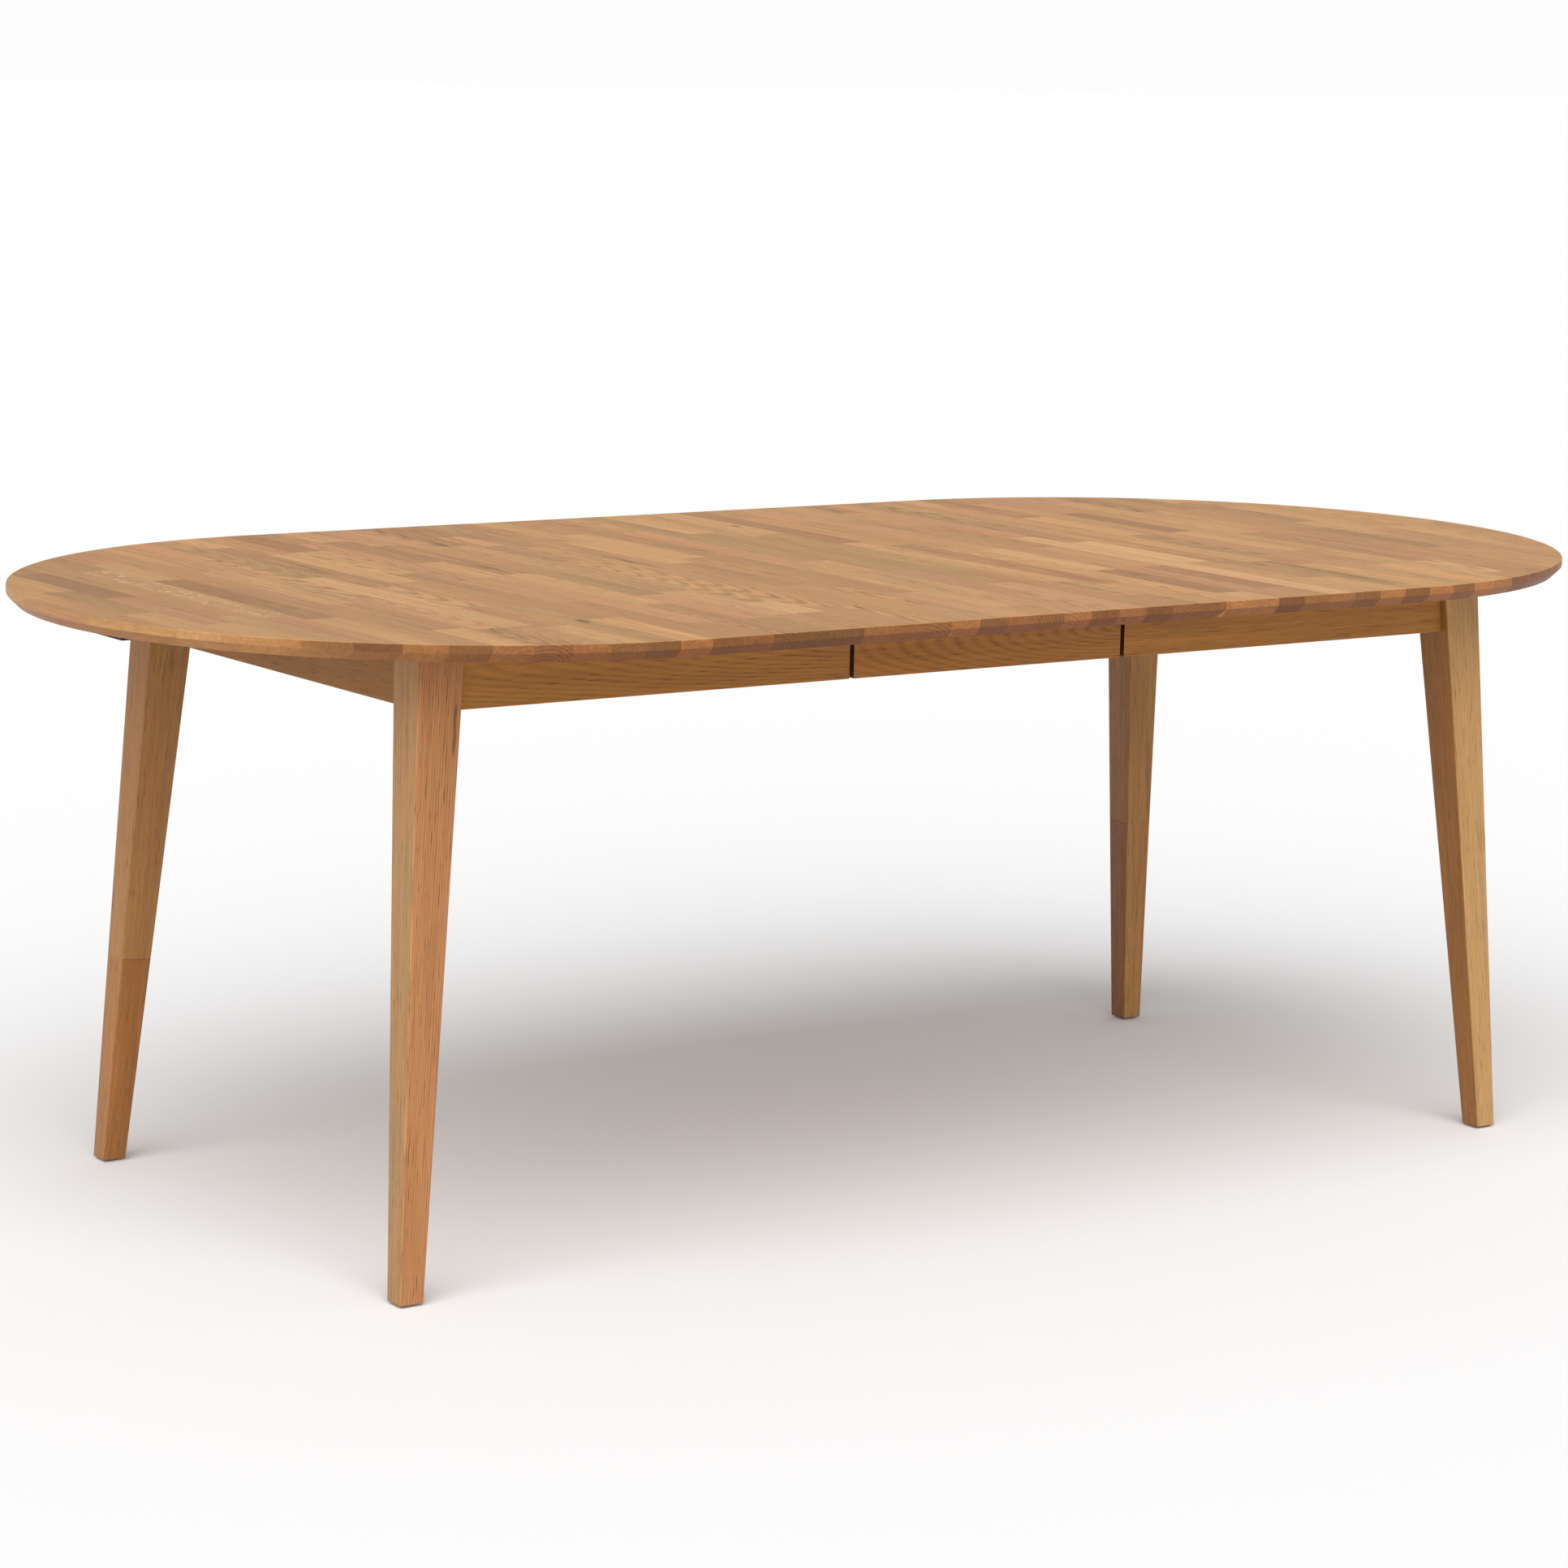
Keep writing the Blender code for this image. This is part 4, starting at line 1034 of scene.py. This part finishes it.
def speckled(name, light_tint, dark_tint, scale, roughness, metallic, relief):
    """Make a finish of two tones of cloud, with fine noise in its roughness and relief."""
    material, tree, shader = new_material(name)
    place = object_place(tree)
    cloud = ramp(tree, noise(tree, place, scale=scale, detail=4.0), 0.35, 0.65)
    fine = noise(tree, place, scale=scale * FINE_SCALE)
    wear = maths(tree, "MULTIPLY_ADD", fine, WEAR, roughness - WEAR / 2)
    feed(tree, shader.inputs["Base Color"], mix_colour(tree, cloud, (*dark_tint, 1.0), (*light_tint, 1.0)))
    feed(tree, shader.inputs["Roughness"], wear)
    shader.inputs["Metallic"].default_value = metallic
    roughen(tree, shader, fine, WEAR_RELIEF_STRENGTH, relief)
    return material


zinc = speckled("zinc_plate", light_tint=(0.60, 0.61, 0.62), dark_tint=(0.50, 0.49, 0.45), scale=90.0,
                roughness=0.36, metallic=1.0, relief=0.00003)
plastic = speckled("grey_plastic", light_tint=(0.205, 0.205, 0.200), dark_tint=(0.165, 0.165, 0.165),
                   scale=160.0, roughness=0.55, metallic=0.0, relief=0.00004)
BEECH_TINT, BEECH_FIGURE, BEECH_RING, BEECH_SEED = (0.560, 0.350, 0.200), 0.3, 0.0011, 400
beech_pith = (0, 0.03, table_height - top_thickness / 2 + 0.02)
beech = board_finish("beech_dowel", "X", beech_pith, 0.0, BEECH_TINT, BEECH_FIGURE, BEECH_RING,
                     BEECH_SEED)

# %% [markdown]
# ## Dowels, stop pins and glides
# Each half top carries two dowels in its joint edge, with chamfered ends that find their holes. Each
# middle runner has two steel pins that stop its travel against small plates. A glide, domed so that
# it slides, is nailed under every foot. A plain cylinder could stand for each, but chamfers and domes
# are what makes them look turned, so each gets a profile of its own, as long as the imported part.

# %% Model the dowels
DOWEL_LENGTH, DOWEL_RADIUS, NOSE = 0.030, 0.0040, 0.0012
dowel = turn_profile("dowel", [(0, 0), (DOWEL_RADIUS - NOSE, 0), (DOWEL_RADIUS, NOSE),
                               (DOWEL_RADIUS, DOWEL_LENGTH - NOSE),
                               (DOWEL_RADIUS - NOSE, DOWEL_LENGTH), (0, DOWEL_LENGTH)])
spots = []
for side_name, side_sign in SIDES.items():
    for face_name in FACES:
        node = f"alignment_pin_{face_name}_{side_name}"
        tip = centre_of(node) - Vector((side_sign * DOWEL_LENGTH / 2, 0, 0))
        spots.append((f"dowel_{face_name}_{side_name}", tip, (side_sign, 0, 0),
                      f"{side_name}_half", [node]))
place_copies(dowel, spots, beech)

# %% Model the stop pins
STOP_RADIUS, STOP_DOME = 0.0030, 0.0008
stop_low, stop_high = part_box("stop_pin_left_front")
stop_length = stop_high.z - stop_low.z
stop_pin = turn_profile("stop_pin", [(0, 0), (STOP_RADIUS - STOP_DOME, 0), (STOP_RADIUS, STOP_DOME),
                                     (STOP_RADIUS, stop_length), (0, stop_length)])
spots = []
for node in frame["nodes"]:
    if node.startswith("stop_pin"):
        foot = centre_of(node) - Vector((0, 0, stop_length / 2))
        spots.append((f"{node}_turned", foot, (0, 0, 1), "runner_centre", [node]))
place_copies(stop_pin, spots, zinc)

# %% Model the glides
GLIDE_RADIUS, GLIDE_THICKNESS, GLIDE_DOME = 0.0110, 0.0022, 0.0009
NAIL_RADIUS, NAIL_POINT = 0.0012, 0.0020
nail_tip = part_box("foot_glide_front_left")[1].z
glide = turn_profile("glide", [(0, 0), (GLIDE_RADIUS - 2 * GLIDE_DOME, 0),
                               (GLIDE_RADIUS - GLIDE_DOME / 2, GLIDE_DOME / 3),
                               (GLIDE_RADIUS, GLIDE_DOME), (GLIDE_RADIUS, GLIDE_THICKNESS),
                               (NAIL_RADIUS, GLIDE_THICKNESS), (NAIL_RADIUS, nail_tip - NAIL_POINT),
                               (0, nail_tip)], steps=32)
spots = []
for side_name in SIDES:
    for face_name in FACES:
        node = f"foot_glide_{face_name}_{side_name}"
        foot = centre_of(node)
        foot.z = 0
        spots.append((f"glide_{face_name}_{side_name}", foot, (0, 0, 1), f"{side_name}_half", [node]))
place_copies(glide, spots, plastic)

# %% [markdown]
# ## The bolts that hold the legs
# A hanger bolt is screwed into the leg and stands out through the corner brace, where a flange nut
# pulls the leg tight. The thread is turned here as a row of ridges, one for each turn of a real one.
# At a millimetre from crest to crest no eye can tell them from a helix.

# %% Model the bolt
BOLT_RADIUS, THREAD_DEPTH, THREAD_PITCH, THREADS = 0.0040, 0.0005, 0.0010, 16
BOLT_POINT = 0.0040
bolt_low, bolt_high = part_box("hanger_bolt_front_left")
bolt_length = (bolt_high.x - bolt_low.x) * math.sqrt(2) - 2 * BOLT_RADIUS
profile = [(0, 0), (BOLT_RADIUS - 2 * THREAD_DEPTH, 0)]
for turn_number in range(THREADS):
    start = (turn_number + 0.5) * THREAD_PITCH
    profile += [(BOLT_RADIUS, start), (BOLT_RADIUS - THREAD_DEPTH, start + THREAD_PITCH / 2)]
profile += [(BOLT_RADIUS, (THREADS + 0.5) * THREAD_PITCH), (BOLT_RADIUS, bolt_length - BOLT_POINT),
            (0, bolt_length)]
bolt = turn_profile("hanger_bolt", profile)

# %% Model the nut
NUT_RADIUS, NUT_LENGTH, NUT_CHAMFER, NUT_BORE = 0.0075, 0.0080, 0.0007, 0.0043
NUT_LIFT = 0.0005             # how far the six sides start above the seat, inside the flange
FLANGE_RADIUS, FLANGE_RIM, FLANGE_TOP_RADIUS, FLANGE_HEIGHT = 0.0090, 0.0009, 0.0073, 0.0019
flange = turn_profile("flange", [(0, 0), (FLANGE_RADIUS, 0), (FLANGE_RADIUS, FLANGE_RIM),
                                 (FLANGE_TOP_RADIUS, FLANGE_HEIGHT), (0, FLANGE_HEIGHT)], steps=36)
clear_selection()
bpy.ops.mesh.primitive_cylinder_add(vertices=6, radius=NUT_RADIUS, depth=NUT_LENGTH - NUT_LIFT,
                                    location=(0, 0, (NUT_LENGTH + NUT_LIFT) / 2))
nut = name_piece("flange_nut")
pick(nut, "FACE", lambda face: face.normal.z > 0.9)
bpy.ops.mesh.inset(thickness=NUT_CHAMFER, depth=0)
pick(nut, "EDGE", lambda edge: all(vert.co.z > NUT_LENGTH - NEAR for vert in edge.verts)
     and min(vert.co.xy.length for vert in edge.verts) > NUT_RADIUS - NUT_CHAMFER / 2)
bpy.ops.transform.translate(value=(0, 0, -NUT_CHAMFER / 2))
bpy.ops.object.mode_set(mode="OBJECT")
carve(nut, flange, "UNION")
clear_selection()
bpy.ops.mesh.primitive_cylinder_add(vertices=24, radius=NUT_BORE, depth=3 * NUT_LENGTH)
carve(nut, bpy.context.active_object)

# %% Bolt the legs to their braces
BOLT_PAST_NUT = 0.0030
bolt_spots, nut_spots, brace_faces = [], [], []
for side_name, side_sign in SIDES.items():
    for face_name, face_sign in FACES.items():
        corner, body = f"{face_name}_{side_name}", f"{side_name}_half"
        inward = Vector((-side_sign, -face_sign, 0)).normalized()
        end = centre_of(f"hanger_bolt_{corner}") + inward * bolt_length / 2
        seat = end - inward * (BOLT_PAST_NUT + NUT_LENGTH)
        bolt_spots.append((f"bolt_{corner}", end, -inward, body, [f"hanger_bolt_{corner}"]))
        nut_spots.append((f"nut_{corner}", seat, inward, body, [f"leg_nut_{corner}"]))
        brace_faces.append((corner, body, seat, inward))
place_copies(bolt, bolt_spots, zinc)
place_copies(nut, nut_spots, zinc)

# %% [markdown]
# ## Screws
# Countersunk screws hold the cleats, battens, braces, runners and stop plates. A screw is turned like
# a bolt, and its cross recess is cut with two thin blades. Its head stands a hair proud of the wood,
# as a real one does when it is driven by hand.

# %% Model the screw
HEAD_RADIUS, HEAD_RIM, HEAD_DEPTH = 0.0038, 0.0003, 0.0026
SHANK_RADIUS, SCREW_LENGTH, SCREW_POINT = 0.0017, 0.0150, 0.0030
RECESS = (0.0044, 0.0009, 0.0028)       # a blade of the cross: its length, width and height
screw = turn_profile("screw", [(0, 0), (HEAD_RADIUS - HEAD_RIM, 0), (HEAD_RADIUS, -HEAD_RIM),
                               (SHANK_RADIUS, -HEAD_DEPTH), (SHANK_RADIUS, SCREW_POINT - SCREW_LENGTH),
                               (0, -SCREW_LENGTH)])
for blade_turn in (0, math.pi / 2):
    clear_selection()
    bpy.ops.mesh.primitive_cube_add(size=1, scale=RECESS, rotation=(0, 0, blade_turn))
    carve(screw, bpy.context.active_object)

# %% Two helpers to place rows of screws
PROUD = 0.0003
screw_spots = []


def add_screws(label, body, direction, places):
    """Add screws with their heads a hair proud of a face, looking along a direction."""
    for number, place in enumerate(places):
        head = Vector(place) + Vector(direction) * PROUD
        screw_spots.append((f"screw_{label}_{number + 1}", head, direction, body, []))


def along_box(node, shares, y_share=0.5, z_share=0.0):
    """Return points at shares of a part's box along X, at one share of its Y and Z."""
    low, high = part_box(node)
    size = high - low
    return [(low.x + share * size.x, low.y + y_share * size.y, low.z + z_share * size.z)
            for share in shares]


# %% Choose where the screws go
DOWN = (0, 0, -1)
SIDE_SCREW_HEIGHT = 0.45      # as a share of a cleat's height
LEAF_CLEAT_SHARES, LEAF_CLEAT_SIDE_SHARES = (0.12, 0.5, 0.88), (0.3, 0.7)
CLEAT_SHARES, CLEAT_SIDE_SHARES = (0.08, 0.36, 0.64, 0.92), (0.22, 0.78)
RUNNER_SHARES = {"left": (0.08, 0.30, 0.52), "right": (0.48, 0.70, 0.92)}
BATTEN_SHARES, BATTEN_ROWS = (0.12, 0.5, 0.88), {"front": 0.2, "rear": 0.8}
BRACE_SCREW_OUT, BRACE_SCREW_UP = 0.040, 0.013

for face_name, face_sign in FACES.items():
    inward, inner_share = (0, -face_sign, 0), (1 - face_sign) / 2
    cleat = f"leaf_cleat_{face_name}"
    add_screws(cleat, "leaf", DOWN, along_box(cleat, LEAF_CLEAT_SHARES))
    add_screws(f"leaf_cleat_side_{face_name}", "leaf", inward,
               along_box(cleat, LEAF_CLEAT_SIDE_SHARES, inner_share, SIDE_SCREW_HEIGHT))
    for side_name, side_sign in SIDES.items():
        body = f"{side_name}_half"
        cleat = f"apron_cleat_{face_name}_{side_name}"
        add_screws(cleat, body, DOWN, along_box(cleat, CLEAT_SHARES))
        add_screws(f"{cleat}_side", body, inward,
                   along_box(cleat, CLEAT_SIDE_SHARES, inner_share, SIDE_SCREW_HEIGHT))
        runner = f"runner_{side_name}_{face_name}"
        add_screws(runner, body, DOWN, along_box(runner, RUNNER_SHARES[side_name]))
        plate = f"stop_plate_{side_name}_{face_name}"
        own_lane = 0.25 if side_sign == face_sign else 0.75
        add_screws(plate, body, DOWN, along_box(plate, (0.5,), own_lane))
for side_name in SIDES:
    batten = f"support_batten_{side_name}"
    for row, y_share in BATTEN_ROWS.items():
        add_screws(f"{batten}_{row}", f"{side_name}_half", DOWN, along_box(batten, BATTEN_SHARES, y_share))
for corner, body, seat, inward in brace_faces:
    sideways = Vector((inward.y, -inward.x, 0))
    places = [seat + sideways * out + Vector((0, 0, up)) for out in (-BRACE_SCREW_OUT, BRACE_SCREW_OUT)
              for up in (-BRACE_SCREW_UP, BRACE_SCREW_UP)]
    add_screws(f"corner_brace_{corner}", body, inward, places)
place_copies(screw, screw_spots, zinc)

# %% Finish the stop plates
PLATE_EASE = 0.0003
for node in frame["nodes"]:
    if node.startswith("stop_plate"):
        ease(node, zinc, PLATE_EASE)

# %% [markdown]
# ## Floor, light and camera
# The table stands on a plain pale floor. One very wide soft light comes from above and in front, from
# the left, like a bank of soft boxes. It lights the floor evenly, it lets the outer faces of the
# legs read, and it leaves the aprons in the shade of the overhang. The sky fills in the rest. It is
# white at the horizon, where it closes the view behind the floor, and greyer above.

# %% Lay the floor
FLOOR_SIZE = 160
FLOOR_COLOUR = (0.88, 0.88, 0.88, 1.0)
MATT = 0.9
clear_selection()
bpy.ops.mesh.primitive_plane_add(size=FLOOR_SIZE)
floor = bpy.context.active_object
floor.name = "floor"
floor_material, _, floor_shader = new_material("pale_floor")
floor_shader.inputs["Base Color"].default_value = FLOOR_COLOUR
floor_shader.inputs["Roughness"].default_value = MATT
floor_shader.inputs["Specular IOR Level"].default_value = 0.0
floor.data.materials.append(floor_material)
print("floor:", FLOOR_SIZE, "m wide")

# %% Light the scene
HORIZON, ZENITH = 0.985, 0.46
FADE = (0.03, 0.20)           # how high above the horizon the sky begins and ends its fade
BANK_FROM = Vector((-0.44, -0.54, 0.72))
BANK_STRENGTH, BANK_WIDTH = 2.9, math.radians(70)
world = bpy.data.worlds.new("studio_sky")
world.use_nodes = True
sky = world.node_tree
direction = split(sky, sky.nodes.new("ShaderNodeTexCoord").outputs["Generated"])
feed(sky, sky.nodes["Background"].inputs["Strength"],
     ramp(sky, direction["Z"], *FADE, start=HORIZON, end=ZENITH))
sky.nodes["Background"].inputs["Color"].default_value = (1.0, 1.0, 1.0, 1.0)
bpy.context.scene.world = world
bpy.context.scene.view_settings.view_transform = "Standard"

lamp = bpy.data.lights.new("soft_bank", "SUN")
lamp.energy = BANK_STRENGTH
lamp.angle = BANK_WIDTH
bank = bpy.data.objects.new("soft_bank", lamp)
bank.rotation_euler = BANK_FROM.to_track_quat("Z", "Y").to_euler()
bpy.context.scene.collection.objects.link(bank)
print("soft bank:", round(math.degrees(BANK_WIDTH)), "degrees wide")

# %% Set the camera
CAMERA_PLACE = (-3.182, -4.502, 1.408)
CAMERA_TURN, CAMERA_DROP, CAMERA_ROLL = (math.radians(angle) for angle in (35.244, 10.196, 1.303))
LENS, SENSOR_WIDTH, SHIFT = 101.57, 36.0, (-0.0230, 0.0244)
camera_data = bpy.data.cameras.new("portrait_camera")
camera_data.lens = LENS
camera_data.sensor_width = SENSOR_WIDTH
camera_data.shift_x, camera_data.shift_y = SHIFT
camera = bpy.data.objects.new("portrait_camera", camera_data)
camera.matrix_world = (Matrix.Translation(CAMERA_PLACE)
                       @ Matrix.Rotation(-CAMERA_TURN, 4, "Z")
                       @ Matrix.Rotation(math.pi / 2 - CAMERA_DROP, 4, "X")
                       @ Matrix.Rotation(CAMERA_ROLL, 4, "Z"))
bpy.context.scene.collection.objects.link(camera)
bpy.context.scene.camera = camera
print("camera:", round(Vector(CAMERA_PLACE).length, 2), "m from the table's centre on the floor")
